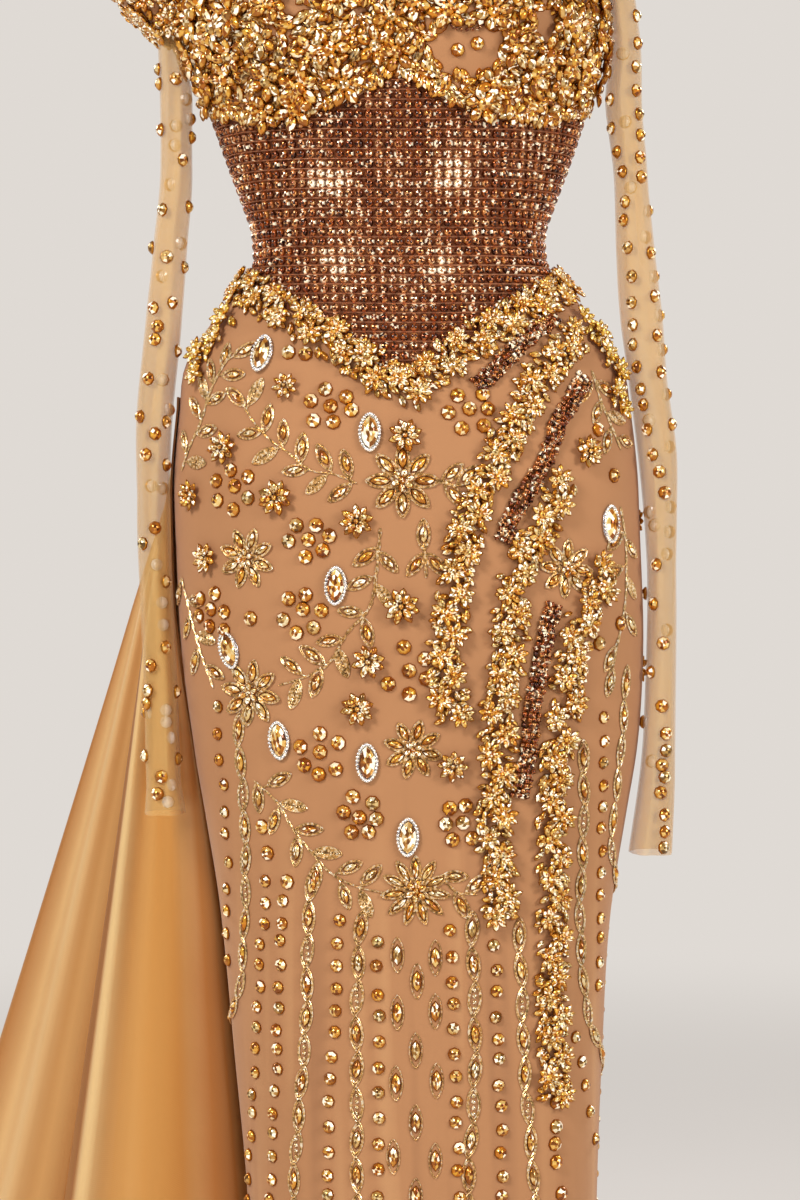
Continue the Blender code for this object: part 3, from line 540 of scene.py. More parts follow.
NAVETTE_OUTLINE = np.array(
    [(0, -1), (0.72, -0.6), (1, 0), (0.72, 0.6), (0, 1), (-0.72, 0.6), (-1, 0), (-0.72, -0.6)]
)
LONG_OUTLINE = np.array(
    [
        (0, -1), (0.5, -0.8), (0.86, -0.45), (1, 0), (0.86, 0.45), (0.5, 0.8), (0, 1), (-0.5, 0.8),
        (-0.86, 0.45), (-1, 0), (-0.86, -0.45), (-0.5, -0.8),
    ]
)
# Each cut: its shape and how many of its lowest bands are metal setting
CUTS = {
    "round": (stone_shape(ring_outline(8), [(1, 0), (0.86, 0.42), (0.46, 0.9)], 1.0), 1),
    "navette": (stone_shape(NAVETTE_OUTLINE, [(1, 0), (0.84, 0.4), (0.42, 0.92)], 1.0), 1),
    "brooch": (stone_shape(LONG_OUTLINE, [(1, 0), (0.96, 0.3), (0.68, 0.75), (0.4, 1.0)], 1.0), 0),
    "bead": (stone_shape(ring_outline(8), [(1, 0), (0.62, 0.8)], 0.95), 0),
    "square": (stone_shape(ring_outline(4, math.pi / 4), [(1, 0), (0.62, 0.8)], 0.9), 0),
}


def picked(places, keep):
    return tuple(part[keep] for part in places)


def moved(places, across, up, out):
    """Places moved along their own directions."""
    point, round_way, upward, outward = places
    shift = [np.broadcast_to(value, len(point))[:, None] for value in (across, up, out)]
    return point + round_way * shift[0] + upward * shift[1] + outward * shift[2], round_way, upward, outward


class Stones:
    """The stones of one piece, gathered as whole arrays of corners, faces, shades and slots."""

    def __init__(self, seed):
        self.chance = np.random.default_rng(seed)
        self.points, self.faces, self.shades, self.slots, self.used = [], [], [], [], 0
        self.yellow = 0.0

    def tones(self, count, pale_share=0.3):
        """Most stones are warm and some are pale."""
        pale = self.chance.random(count) < pale_share
        return np.where(pale, self.chance.uniform(0.6, 1.0, count), self.chance.uniform(0.0, 0.3, count))

    def add(self, cut, places, size, turn=0.0, lean=0.0, tone=0.4, light=0.5, spread=0.36, painted_glints=0.07):
        """One stone at each place: place + x X + y Y + z Z, with X and Y turned, then Y leant up."""
        point, round_way, upward, outward = places
        count = len(point)
        if count == 0:
            return
        ((shape, faces, bands, facets), (angle, table)), metal_bands = CUTS[cut]
        turn, lean = [np.radians(np.broadcast_to(value, count))[:, None] for value in (turn, lean)]
        x_way = round_way * np.cos(turn) - upward * np.sin(turn)
        y_way = upward * np.cos(turn) + round_way * np.sin(turn)
        z_way = outward * np.cos(lean) - y_way * np.sin(lean)
        y_way = y_way * np.cos(lean) + outward * np.sin(lean)
        size = np.broadcast_to(np.asarray(size, float), (count, 3))
        corners = (
            point[:, None]
            + x_way[:, None] * (size[:, None, 0] * shape[None, :, 0])[..., None]
            + y_way[:, None] * (size[:, None, 1] * shape[None, :, 1])[..., None]
            + z_way[:, None] * (size[:, None, 2] * shape[None, :, 2])[..., None]
        )
        tone = np.broadcast_to(np.asarray(tone, float), count)
        light = np.broadcast_to(np.asarray(light, float), count)
        kinds = len(angle)
        # Facet shades are painted reflections: random painted light and shade on the crown facets, a share
        # of white painted glints, and a dark painted bow-tie shade across the table.
        crown = light[:, None] + 0.06 + spread * self.chance.uniform(-1, 1, (count, kinds))
        crown = np.where(self.chance.random((count, kinds)) < painted_glints, 1.0, crown)
        bow_tie_shade = np.cos(angle[None] - self.chance.uniform(0, math.pi, (count, 1))) ** 2
        inner = light[:, None] - 0.34 + (0.5 + 0.5 * self.chance.random((count, 1))) * bow_tie_shade**2
        value = np.where(table[None], inner + 0.08 * self.chance.uniform(-1, 1, (count, kinds)), crown)
        value = np.clip(value, 0, 1)[:, facets]
        hue, gold = np.broadcast_to(tone[:, None], value.shape), np.full_like(value, self.yellow)
        shade = np.stack([value, hue, gold, np.ones_like(value)], axis=-1)
        self.points.append(corners.reshape(-1, 3))
        offset = self.used + np.arange(count)[:, None, None] * len(shape)
        self.faces.append((faces[None] + offset).reshape(-1, 3))
        self.shades.append(np.repeat(shade.reshape(-1, 4), 3, axis=0))
        self.slots.append(np.tile(np.where(bands < metal_bands, 1, 0), count))
        self.used += count * len(shape)

    def flower(
        self, places, radius, petals=7, turn=0.0, lean=22.0, out=1.0, tone=0.3, light=0.5, heart=0.34
    ):
        """Navettes that radiate from each place, round a middle stone; tone is the pale share."""
        count = len(places[0])
        if count == 0:
            return
        radius = np.broadcast_to(np.asarray(radius, float), count)
        around = np.tile(np.arange(petals) * 360.0 / petals, count)
        around = around + np.repeat(np.broadcast_to(turn, count), petals)
        around = around + self.chance.uniform(-7, 7, len(around))
        many = picked(places, np.repeat(np.arange(count), petals))
        reach = np.repeat(radius, petals)
        away = reach * 0.58
        set_in = moved(many, away * np.sin(np.radians(around)), away * np.cos(np.radians(around)), 0)
        leans = lean + self.chance.uniform(-6, 6, len(around))
        set_in = moved(set_in, 0, 0, out + away * np.tan(np.radians(leans)) * 0.8)
        width = min(1.9 / petals, 0.28)
        size = np.column_stack([reach * width, reach * 0.44, reach * 0.22])
        lights = np.repeat(np.broadcast_to(light, count), petals)
        lights = lights + self.chance.uniform(-0.1, 0.1, len(around))
        self.add("navette", set_in, size, around, leans, self.tones(len(around), tone), lights, painted_glints=0.12)
        if heart:
            middle = moved(places, 0, 0, out + 1.2)
            size = np.column_stack([radius * heart, radius * heart, radius * 0.3])
            self.add("round", middle, size, self.chance.uniform(0, 45, count), 0, self.tones(count), 0.5)

    def piece(self, name, materials, *nodes, slot="crystal"):
        piece = make_piece(
            name,
            np.concatenate(self.points),
            np.concatenate(self.faces),
            materials,
            slots=np.concatenate(self.slots),
            shades=np.concatenate(self.shades),
            flat=True,
        )
        finish_piece(piece, slot, *nodes)
        return piece


def finish_piece(piece, slot, *nodes):
    """The piece moves with the dress and stands for the nodes, which it hides. The slot is not used."""
    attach(piece, "root")
    if nodes:
        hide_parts(*nodes)


def threads(paths, outward, radius, closed=False):
    """Fine tubes round paths: point + radius (cos a side + sin a outward), for a at even steps."""
    sides = 4
    along = np.gradient(paths, axis=1)
    if closed:
        along = np.roll(paths, -1, axis=1) - np.roll(paths, 1, axis=1)
    side = unit(np.cross(along, outward))
    turns = np.linspace(0, 2 * math.pi, sides, endpoint=False)
    rings = (
        paths[:, :, None]
        + radius * np.cos(turns)[None, None, :, None] * side[:, :, None]
        + radius * np.sin(turns)[None, None, :, None] * outward[:, :, None]
    )
    count, steps = paths.shape[:2]
    index = np.arange(count * steps * sides).reshape(count, steps, sides)
    far = np.roll(index, -1, axis=1) if closed else index[:, 1:]
    near = index if closed else index[:, :-1]
    faces = np.stack([near, far, np.roll(far, -1, axis=2), np.roll(near, -1, axis=2)], axis=-1)
    faces = faces.reshape(-1, 4)
    return rings.reshape(-1, 3), faces


# Shader values


class Signal:
    """A value in a material. Arithmetic on it adds Math nodes."""

    def __init__(self, shader, socket):
        self.shader, self.socket = shader, socket

    def math(self, operation, *values):
        return self.shader.node("ShaderNodeMath", {"operation": operation}, dict(enumerate(values)))

    def __add__(self, other):
        return self.math("ADD", self, other)

    def __sub__(self, other):
        return self.math("SUBTRACT", self, other)

    def __mul__(self, other):
        return self.math("MULTIPLY", self, other)

    def __rsub__(self, other):
        return self.math("SUBTRACT", other, self)

    __radd__, __rmul__ = __add__, __mul__


class Shader:
    """A material's node tree, with its Principled shader at hand."""

    def __init__(self, name, **fixed):
        self.material = bpy.data.materials.new(name)
        self.material.use_nodes = True
        self.tree = self.material.node_tree
        self.surface = self.tree.nodes["Principled BSDF"]
        for socket, value in fixed.items():
            self.surface.inputs[socket.replace("_", " ")].default_value = value

    def node(self, kind, settings=None, inputs=None, output=0):
        """Adds a node: first its settings, then the values or links of its sockets."""
        made = self.tree.nodes.new(kind)
        for key, value in (settings or {}).items():
            if key == "stops":
                ramp = made.color_ramp
                while len(ramp.elements) < len(value):
                    ramp.elements.new(0.5)
                for element, (place, colour) in zip(ramp.elements, value):
                    element.position, element.color = place, colour
            else:
                setattr(made, key, value)
        for key, value in (inputs or {}).items():
            self.feed(made.inputs[key], value)
        return Signal(self, made.outputs[output])

    def feed(self, socket, value):
        if isinstance(value, Signal):
            self.tree.links.new(value.socket, socket)
        else:
            socket.default_value = value

    def drive(self, **inputs):
        for key, value in inputs.items():
            self.feed(self.surface.inputs[key.replace("_", " ")], value)

    def blend(self, share, first, second):
        """A colour between two colours."""
        mixed = self.tree.nodes.new("ShaderNodeMix")
        mixed.data_type = "RGBA"
        self.feed(mixed.inputs[0], share)
        self.feed(mixed.inputs[6], first)
        self.feed(mixed.inputs[7], second)
        return Signal(self, mixed.outputs[2])

    def bump(self, height, strength, distance):
        bumped = self.node(
            "ShaderNodeBump", {}, {"Height": height, "Strength": strength, "Distance": distance}
        )
        self.drive(Normal=bumped)

    def coordinates(self, kind="Object"):
        return self.node("ShaderNodeTexCoord", {}, {}, kind)

    def noise(self, where, scale, detail=2.0):
        return self.node(
            "ShaderNodeTexNoise", {}, {"Vector": where, "Scale": scale, "Detail": detail}, "Fac"
        )

    def ramp(self, share, stops):
        return self.node("ShaderNodeValToRGB", {"stops": stops}, {"Fac": share})


def tint(red, green, blue):
    """A linear colour with alpha from 0 to 255 display values."""
    values = [value / 255 for value in (red, green, blue)]
    return tuple(v / 12.92 if v <= 0.04045 else ((v + 0.055) / 1.055) ** 2.4 for v in values) + (1.0,)


def scaled(colour, factor):
    return tuple(min(1.0, value * factor) for value in colour[:3]) + (1.0,)


def settings():
    return bpy.context.scene.column_dress


def stone_material(name, warm, pale, roughness=0.12, metallic=0.5, glint_glow=0.5):
    """Cut stones: each facet has its own painted shade of reflected light, from deep to white, on a warm and
    a pale set of colours; the whitest facets glow as painted glints.
    """
    known = bpy.data.materials.get(name)
    if known:
        return known
    shader = Shader(name, Roughness=roughness, Metallic=metallic, Coat_Weight=0.25, Coat_Roughness=0.04)
    shade = shader.node("ShaderNodeAttribute", {"attribute_name": "stone"}, {}, "Color")
    parts = shader.node("ShaderNodeSeparateColor", {}, {"Color": shade}, "Red")
    tone = Signal(shader, parts.socket.node.outputs["Green"])
    gold = Signal(shader, parts.socket.node.outputs["Blue"])
    colour = shader.blend(tone, shader.ramp(parts, warm), shader.ramp(parts, pale))
    lemon = [
        (0.0, tint(96, 58, 4)), (0.4, tint(212, 156, 14)), (0.75, tint(255, 222, 84)),
        (1.0, tint(255, 252, 214)),
    ]
    colour = shader.blend(gold, colour, shader.ramp(parts, lemon))
    shader.drive(Base_Color=colour)
    # The whitest facets glow: painted glints, not lamps.
    dark = (0.0, 0.0, 0.0, 1.0)
    glint_emission = shader.ramp(parts, [(0.0, dark), (0.86, dark), (1.0, (1.0, 0.88, 0.6, 1.0))])
    shader.drive(Emission_Color=glint_emission)
    shader.surface.inputs["Emission Strength"].default_value = glint_glow
    return shader.material


def amber():
    warm = [
        (0.0, tint(78, 30, 0)), (0.22, tint(146, 70, 2)), (0.5, tint(216, 128, 12)),
        (0.7, tint(246, 182, 52)), (0.88, tint(255, 220, 134)), (1.0, tint(255, 250, 230)),
    ]
    pale = [
        (0.0, tint(68, 46, 18)), (0.22, tint(130, 92, 36)), (0.5, tint(202, 158, 82)),
        (0.7, tint(240, 210, 144)), (0.88, tint(250, 238, 202)), (1.0, tint(255, 253, 246)),
    ]
    return stone_material("amber_stone", warm, pale)


def bronze():
    warm = [
        (0.0, tint(42, 13, 2)), (0.3, tint(110, 42, 8)), (0.55, tint(184, 88, 20)),
        (0.8, tint(238, 162, 76)), (1.0, tint(255, 242, 212)),
    ]
    pale = [
        (0.0, tint(54, 22, 8)), (0.3, tint(134, 68, 28)), (0.55, tint(206, 142, 84)),
        (0.8, tint(250, 218, 170)), (1.0, tint(255, 251, 238)),
    ]
    return stone_material("bronze_stone", warm, pale)


def metal(name, colour, roughness):
    """Metal of the stone settings, a little uneven in its polish."""
    known = bpy.data.materials.get(name)
    if known:
        return known
    shader = Shader(name, Metallic=1.0)
    grain = shader.noise(shader.coordinates(), 900.0)
    shader.drive(Base_Color=shader.blend(grain, scaled(colour, 0.75), scaled(colour, 1.15)))
    shader.drive(Roughness=grain * 0.2 + (roughness - 0.1))
    return shader.material


def gold_setting():
    return metal("gold_setting", tuple(settings().setting_colour) + (1.0,), 0.34)


def silver_setting():
    return metal("silver_setting", tint(214, 214, 220), 0.22)


def net_material(name, colour, sheen, mesh_size, folded=0.0):
    """Net cloth: a fine square mesh of threads over a matt ground.

    Folded net hangs in soft upright folds, bumped and given painted shade in their troughs and painted light
    on their crests; they fade out from 0.5 to 0.75 m above the cloth's lower edge.
    """
    shader = Shader(name, Roughness=0.78, Sheen_Weight=sheen, Sheen_Roughness=0.4, Specular_IOR_Level=0.25)
    where = shader.coordinates("UV")
    split = shader.node("ShaderNodeSeparateXYZ", {}, {"Vector": where}, "X")
    across, up = split, Signal(shader, split.socket.node.outputs["Y"])
    pitch = 2 * math.pi / (mesh_size * MM)
    threads_across = (across * pitch).math("SINE", across * pitch)
    threads_up = (up * pitch).math("SINE", up * pitch)
    weave = threads_across * threads_up
    slow = shader.noise(shader.coordinates(), 9.0, 3.0)
    drawn_out = shader.node("ShaderNodeMapping", {}, {"Vector": where, "Scale": (34.0, 1.3, 1.0)})
    drape = shader.noise(drawn_out, 1.0)
    ground = shader.blend(slow * 0.4 + drape * 0.6, scaled(colour, 0.84), scaled(colour, 1.12))
    fade = shader.node(
        "ShaderNodeMapRange", {"interpolation_type": "SMOOTHSTEP"},
        {"Value": up, "From Min": 0.75, "From Max": 0.5},
    )
    # Painted shade in the fold troughs and painted light on the fold crests.
    net_fold_shading = shader.ramp(
        drape, [(0.34, tint(150, 102, 70)), (0.46, colour), (0.54, colour), (0.66, tint(222, 170, 118))]
    )
    ground = shader.blend(fade * folded, ground, net_fold_shading)
    shader.drive(Base_Color=shader.blend(weave * 0.5 + 0.5, scaled(colour, 0.86), ground))
    shader.bump(weave * 0.05 + drape * fade * folded, 0.3, 0.005)
    return shader.material


def satin_material():
    """Satin: a close weave with long floats. Its colour follows the folds, which the mesh numbers, as
    painted highlights and shadow on the front folds and painted sheen streaks elsewhere.
    """
    colour = tuple(settings().satin_colour) + (1.0,)
    shader = Shader("gold_satin", Metallic=0.4, Sheen_Weight=0.15, Sheen_Roughness=0.3, Coat_Weight=0.1)
    shader.surface.inputs["Coat Roughness"].default_value = 0.3
    where = shader.coordinates("UV")
    split = shader.node("ShaderNodeSeparateXYZ", {}, {"Vector": where}, "X")
    across, up = split, Signal(shader, split.socket.node.outputs["Y"])
    float_line = (across * 2600.0 + up * 5200.0).math("SINE", across * 2600.0 + up * 5200.0)
    slow = shader.noise(shader.coordinates(), 5.0, 2.0)
    fold = shader.node("ShaderNodeAttribute", {"attribute_name": "fold"}, {}, "Fac")
    along = shader.node("ShaderNodeCombineXYZ", {}, {"X": fold * 2.6, "Y": up * 0.55, "Z": 0.0})
    # Long noise streaks along the folds are painted sheen: painted shadow in the dark streaks and painted
    # highlights in the pale ones.
    bands = shader.noise(along, 1.0, 1.5)
    satin_streak_shadow = tuple(c * f for c, f in zip(colour, (0.62, 0.44, 0.26, 1.0)))
    back = shader.ramp(
        bands, [(0.28, satin_streak_shadow), (0.45, scaled(colour, 0.86)), (0.56, colour), (0.7, tint(250, 210, 146))]
    )
    last = len(TRAIN_FOLDS) - 1
    # Across the front folds the colour is painted light and shade: highlights on the rolls, shadow towards
    # the skirt.
    shades = [(place / last, tint(*shade)) for place, shade in SATIN_LIGHT_AND_SHADE]
    front = shader.ramp(fold * (1.0 / last), shades)
    in_front = shader.node(
        "ShaderNodeMapRange", {"interpolation_type": "SMOOTHSTEP"},
        {"Value": fold, "From Min": 10.8, "From Max": 11.05},
    )
    shader.drive(Base_Color=shader.blend(in_front, back, shader.blend(slow * 0.5, front, back)))
    shader.drive(Roughness=slow * 0.1 + 0.3)
    shader.bump(float_line, 0.1, 0.0002)
    return shader.material


def tulle_material():
    """Sheer tulle: most of it is holes, so it shows through, with a fine mesh and soft creases, bumped and
    given painted light and shade along them.
    """
    known = bpy.data.materials.get("sheer_tulle")
    if known:
        return known
    colour = tuple(settings().tulle_colour) + (1.0,)
    shader = Shader("sheer_tulle", Roughness=0.7, Sheen_Weight=0.3, Specular_IOR_Level=0.3)
    where = shader.coordinates("UV")
    split = shader.node("ShaderNodeSeparateXYZ", {}, {"Vector": where}, "X")
    across, up = split, Signal(shader, split.socket.node.outputs["Y"])
    weave = (across * 5200.0).math("SINE", across * 5200.0) * (up * 5200.0).math("SINE", up * 5200.0)
    drawn_out = shader.node("ShaderNodeMapping", {}, {"Vector": where, "Scale": (60.0, 7.0, 1.0)})
    crease = shader.noise(drawn_out, 1.0)
    # The colour goes lighter and darker with the creases: painted light and shade.
    shader.drive(Base_Color=shader.blend(crease, scaled(colour, 0.9), scaled(colour, 1.12)))
    shader.drive(Alpha=crease * 0.24 + weave * 0.05 + (settings().tulle_cover - 0.12))
    shader.bump(crease, 0.35, 0.002)
    return shader.material


def thread_material():
    """Gold thread: twisted, with painted highlights on the light strands and painted shade on the darker
    ones.
    """
    known = bpy.data.materials.get("gold_thread")
    if known:
        return known
    colour = tuple(settings().thread_colour) + (1.0,)
    shader = Shader("gold_thread", Roughness=0.3, Metallic=0.75)
    twist = shader.noise(shader.coordinates(), 520.0, 1.0)
    # Near-white strands are painted highlights, the dark ones painted shade.
    strand_sheen = shader.ramp(twist, [(0.3, scaled(colour, 0.32)), (0.52, colour), (0.66, tint(255, 244, 220))])
    shader.drive(Base_Color=strand_sheen)
    shader.bump(twist, 0.5, 0.0006)
    return shader.material


def milky_material():
    """Foiled backs of the stones on the far layer of a sleeve, pale through the tulle, with a faint painted
    glow.
    """
    known = bpy.data.materials.get("foiled_back")
    if known:
        return known
    shader = Shader("foiled_back", Metallic=0.2, Coat_Weight=0.5)
    grain = shader.noise(shader.coordinates(), 500.0)
    shader.drive(Base_Color=shader.blend(grain, tint(240, 234, 222), tint(255, 254, 250)))
    # The faint emission is a painted glow.
    shader.drive(Roughness=grain * 0.2 + 0.1, Emission_Color=tint(250, 244, 232))
    shader.surface.inputs["Emission Strength"].default_value = 0.16
    return shader.material


# Operators


class DressSettings(bpy.types.PropertyGroup):
    """Sizes and colours of the dress."""

    net_colour: FloatVectorProperty(
        name="Net", description="Colour of the nude net", subtype="COLOR", default=tint(192, 137, 93)[:3]
    )
    waist_colour: FloatVectorProperty(
        name="Waist net", description="Colour of the net under the waist stones", subtype="COLOR",
        default=tint(106, 52, 22)[:3],
    )
    satin_colour: FloatVectorProperty(
        name="Satin", description="Colour of the train", subtype="COLOR", default=tint(224, 162, 88)[:3]
    )
    tulle_colour: FloatVectorProperty(
        name="Tulle", description="Colour of the sleeves", subtype="COLOR", default=tint(222, 180, 110)[:3]
    )
    tulle_cover: FloatProperty(
        name="Tulle cover", description="How much of the tulle is thread", default=0.33, min=0.0, max=1.0,
        subtype="FACTOR",
    )
    thread_colour: FloatVectorProperty(
        name="Thread", description="Colour of the embroidery", subtype="COLOR",
        default=tint(240, 198, 132)[:3],
    )
    setting_colour: FloatVectorProperty(
        name="Settings", description="Metal of the stone settings", subtype="COLOR",
        default=tint(202, 138, 52)[:3],
    )
    round_stone: FloatProperty(
        name="Round stone", description="Diameter of the large round stones", default=0.0118, unit="LENGTH"
    )
    waist_pitch: FloatProperty(
        name="Waist pitch", description="Distance between the waist stones", default=0.0073, unit="LENGTH"
    )
    crystal_pitch: FloatProperty(
        name="Crystal pitch", description="Distance between the crystal flowers", default=0.0165,
        unit="LENGTH",
    )
    seed: IntProperty(name="Seed", description="Arrangement of the stones", default=7, min=0)
    floor_colour: FloatVectorProperty(
        name="Floor", description="Colour of the studio floor", subtype="COLOR", default=(0.7, 0.67, 0.64)
    )
    lens: FloatProperty(name="Lens", description="Focal length of the camera", default=85.0, unit="CAMERA")


def panel_grid(start, end, columns, rows, low_line, high_line):
    """Angles and heights of a cloth panel between two edge lines, a half seam gap inside them."""
    trim = SEAM_GAP / 2
    angle = np.linspace(start + math.degrees(trim / 150.0), end - math.degrees(trim / 150.0), columns)
    low = np.full(columns, HEM_Z) if low_line is None else line_height(low_line, angle)
    high = line_height(high_line, angle)
    share = np.linspace(0, 1, rows)[:, None]
    z = (low + trim) + (high - low - 2 * trim) * share
    return np.broadcast_to(angle, z.shape), z


def make_panel(name, start, end, columns, rows, low_line, high_line, wall, material, slot):
    angle, z = panel_grid(start, end, columns, rows, low_line, high_line)
    outer, _, _, outward = places_at(angle, z)
    piece = cloth_piece(name + "_cloth", outer, outer - outward * wall, material)
    finish_piece(piece, slot, name)
    declare_cloth(outer)
    return piece


class DRESS_OT_bodice(bpy.types.Operator):
    """Make the cups, the waist panel and the backs of the bodice"""

    bl_idname = "dress.bodice"
    bl_label = "Bodice"

    def execute(self, context):
        nude = net_material("nude_net", tuple(settings().net_colour) + (1.0,), 0.25, 1.1)
        waist = net_material("waist_net", tuple(settings().waist_colour) + (1.0,), 0.2, 1.4)
        for side, start, end in (("left", -90, 0), ("right", 0, 90)):
            make_panel(
                f"bust_cup_{side}", start, end, 44, 40, CUP_EDGE, NECKLINE, CUP_WALL, nude, "nude_mesh",
            )
        make_panel(
            "waist_panel_front", -90, 90, 90, 46, WAIST_SEAM, CUP_EDGE, WALL, waist, "bronze_mesh",
        )
        for side, start, end in (("left", -180, -90), ("right", 90, 180)):
            make_panel(
                f"bodice_back_{side}", start, end, 48, 50, WAIST_SEAM, BACK_NECKLINE, WALL, waist,
                "bronze_mesh",
            )
        self.zip_tape()
        return {"FINISHED"}

    def zip_tape(self):
        shader = Shader("zip_tape", Roughness=0.7)
        rib = shader.noise(shader.coordinates(), 1200.0)
        base = tuple(settings().net_colour) + (1.0,)
        shader.drive(Base_Color=shader.blend(rib, scaled(base, 0.7), scaled(base, 0.95)))
        shader.bump(rib, 0.3, 0.0003)
        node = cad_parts["back_zip"]
        for slot in node.material_slots:
            slot.material = shader.material


class DRESS_OT_waist_stones(bpy.types.Operator):
    """Cover the waist panel and the backs with a square grid of bronze stones"""

    bl_idname = "dress.waist_stones"
    bl_label = "Waist stones"

    def execute(self, context):
        for name, middle, span, top_line in (
            ("waist_stones_front", 0.0, 90.0, CUP_EDGE), ("waist_stones_back", 180.0, 90.0, BACK_NECKLINE)
        ):
            self.grid(name, middle, span, top_line)
        return {"FINISHED"}

    def grid(self, name, middle, span, top_line):
        """Stones at even steps of surface length to each side of the middle, row above row."""
        pitch = settings().waist_pitch / MM
        rows = np.arange(-118, 250, pitch * 0.97)
        steps = np.arange(-26, 27) * pitch + (0.0 if middle == 0 else pitch / 2)
        angles = np.linspace(-span, span, 241)
        found = []
        for row in rows:
            dip = 6.0 * np.cos(np.radians(angles)) if middle == 0 else 0 * angles
            line = bare_point(middle + angles, row - dip)
            run = np.concatenate([[0], np.cumsum(np.linalg.norm(np.diff(line, axis=0), axis=-1))])
            run -= run[120]
            inside = steps[np.abs(steps) < run[-1] - 1.0]
            at = np.interp(inside, run, angles)
            found.append(np.column_stack([middle + at, row - np.interp(at, angles, dip)]))
        angle, z = np.concatenate(found).T
        keep = (z > line_height(WAIST_SEAM, angle) + 2) & (z < line_height(top_line, angle) - 0.5)
        angle, z = angle[keep], z[keep]
        places = places_at(angle, z, 0.1)
        stones = Stones(settings().seed + (0 if middle == 0 else 1))
        across, height = angle * 2.0, z
        patch = np.sin(across / 17.0 + 1.3 * np.sin(height / 31.0)) * np.sin(height / 21.0 + across / 26.0)
        glint = np.zeros(len(z))
        if middle == 0:
            seen_x, seen_z = seen_from_front(places[0])
            for glint_x, glint_z, wide, high in WAIST_GLINTS:
                glint += np.exp(-(((seen_x - glint_x) / wide) ** 2) - ((seen_z - glint_z) / high) ** 2)
        light = 0.36 + 0.07 * patch + 0.5 * glint + stones.chance.uniform(-0.12, 0.12, len(z))
        size = np.full((len(z), 3), pitch * 0.49)
        size[:, 2] = pitch * 0.34
        tone = np.clip(0.3 + 0.25 * patch + glint + stones.chance.uniform(-0.2, 0.2, len(z)), 0, 1)
        stones.add("bead", places, size, 22.5, 0, tone, light, spread=0.34, painted_glints=0.1)
        stones.piece(name, [bronze(), gold_setting()], slot="bronze_stones")
        self.lines(name, middle, span, top_line, rows, pitch)

    def lines(self, name, middle, span, top_line, rows, pitch):
        """Rose metal lines between the rows, clipped to the panels by leaving out what lies beyond them."""
        angles = middle + np.linspace(-span, span, 121)
        parts, used = [], 0
        for row in rows + pitch * 0.485:
            z = row - (6.0 if middle == 0 else 0.0) * np.cos(np.radians(angles))
            inside = (z > line_height(WAIST_SEAM, angles) + 2) & (z < line_height(top_line, angles) - 2)
            ends = np.flatnonzero(np.diff(np.concatenate([[0], inside.astype(int), [0]])))
            for start, end in ends.reshape(-1, 2):
                if end - start > 3:
                    places = places_at(angles[start:end], z[start:end], 0.5)
                    line, faces = threads(places[0][None], places[3][None], 0.65)
                    parts.append((line, faces + used))
                    used += len(line)
        points, faces = [np.concatenate([part[k] for part in parts]) for k in (0, 1)]
        piece = make_piece(name + "_lines", points, faces, [metal("rose_metal", tint(208, 152, 116), 0.5)])
        finish_piece(piece, "bronze_mesh")


def scatter(angles, low, high, pitch, chance, jitter=0.22):
    """Jittered hexagonal points on the dress between two heights, with even steps along the surface."""
    found = []
    z, shift = low.min(), False
    while z < high.max():
        line = bare_point(angles, np.full_like(angles, z))
        run = np.concatenate([[0], np.cumsum(np.linalg.norm(np.diff(line, axis=0), axis=-1))])
        at = np.arange(pitch / 2 if shift else 0, run[-1], pitch)
        at = at + chance.uniform(-jitter, jitter, len(at)) * pitch
        angle = np.interp(at, run, angles)
        height = z + chance.uniform(-jitter, jitter, len(at)) * pitch
        keep = (height > np.interp(angle, angles, low)) & (height < np.interp(angle, angles, high))
        found.append(np.column_stack([angle, height])[keep])
        z, shift = z + pitch * 0.84, not shift
    return np.concatenate(found).T


def clear_of(places, holes, margin=1.0):
    """True where a place is outside the oval openings, as they are seen from the front."""
    across, height = seen_from_front(places[0])
    clear = np.full(across.shape, True)
    for middle_x, middle_z, half_x, half_z in holes:
        clear &= ((across - middle_x) / half_x) ** 2 + ((height - middle_z) / half_z) ** 2 > margin
    return clear


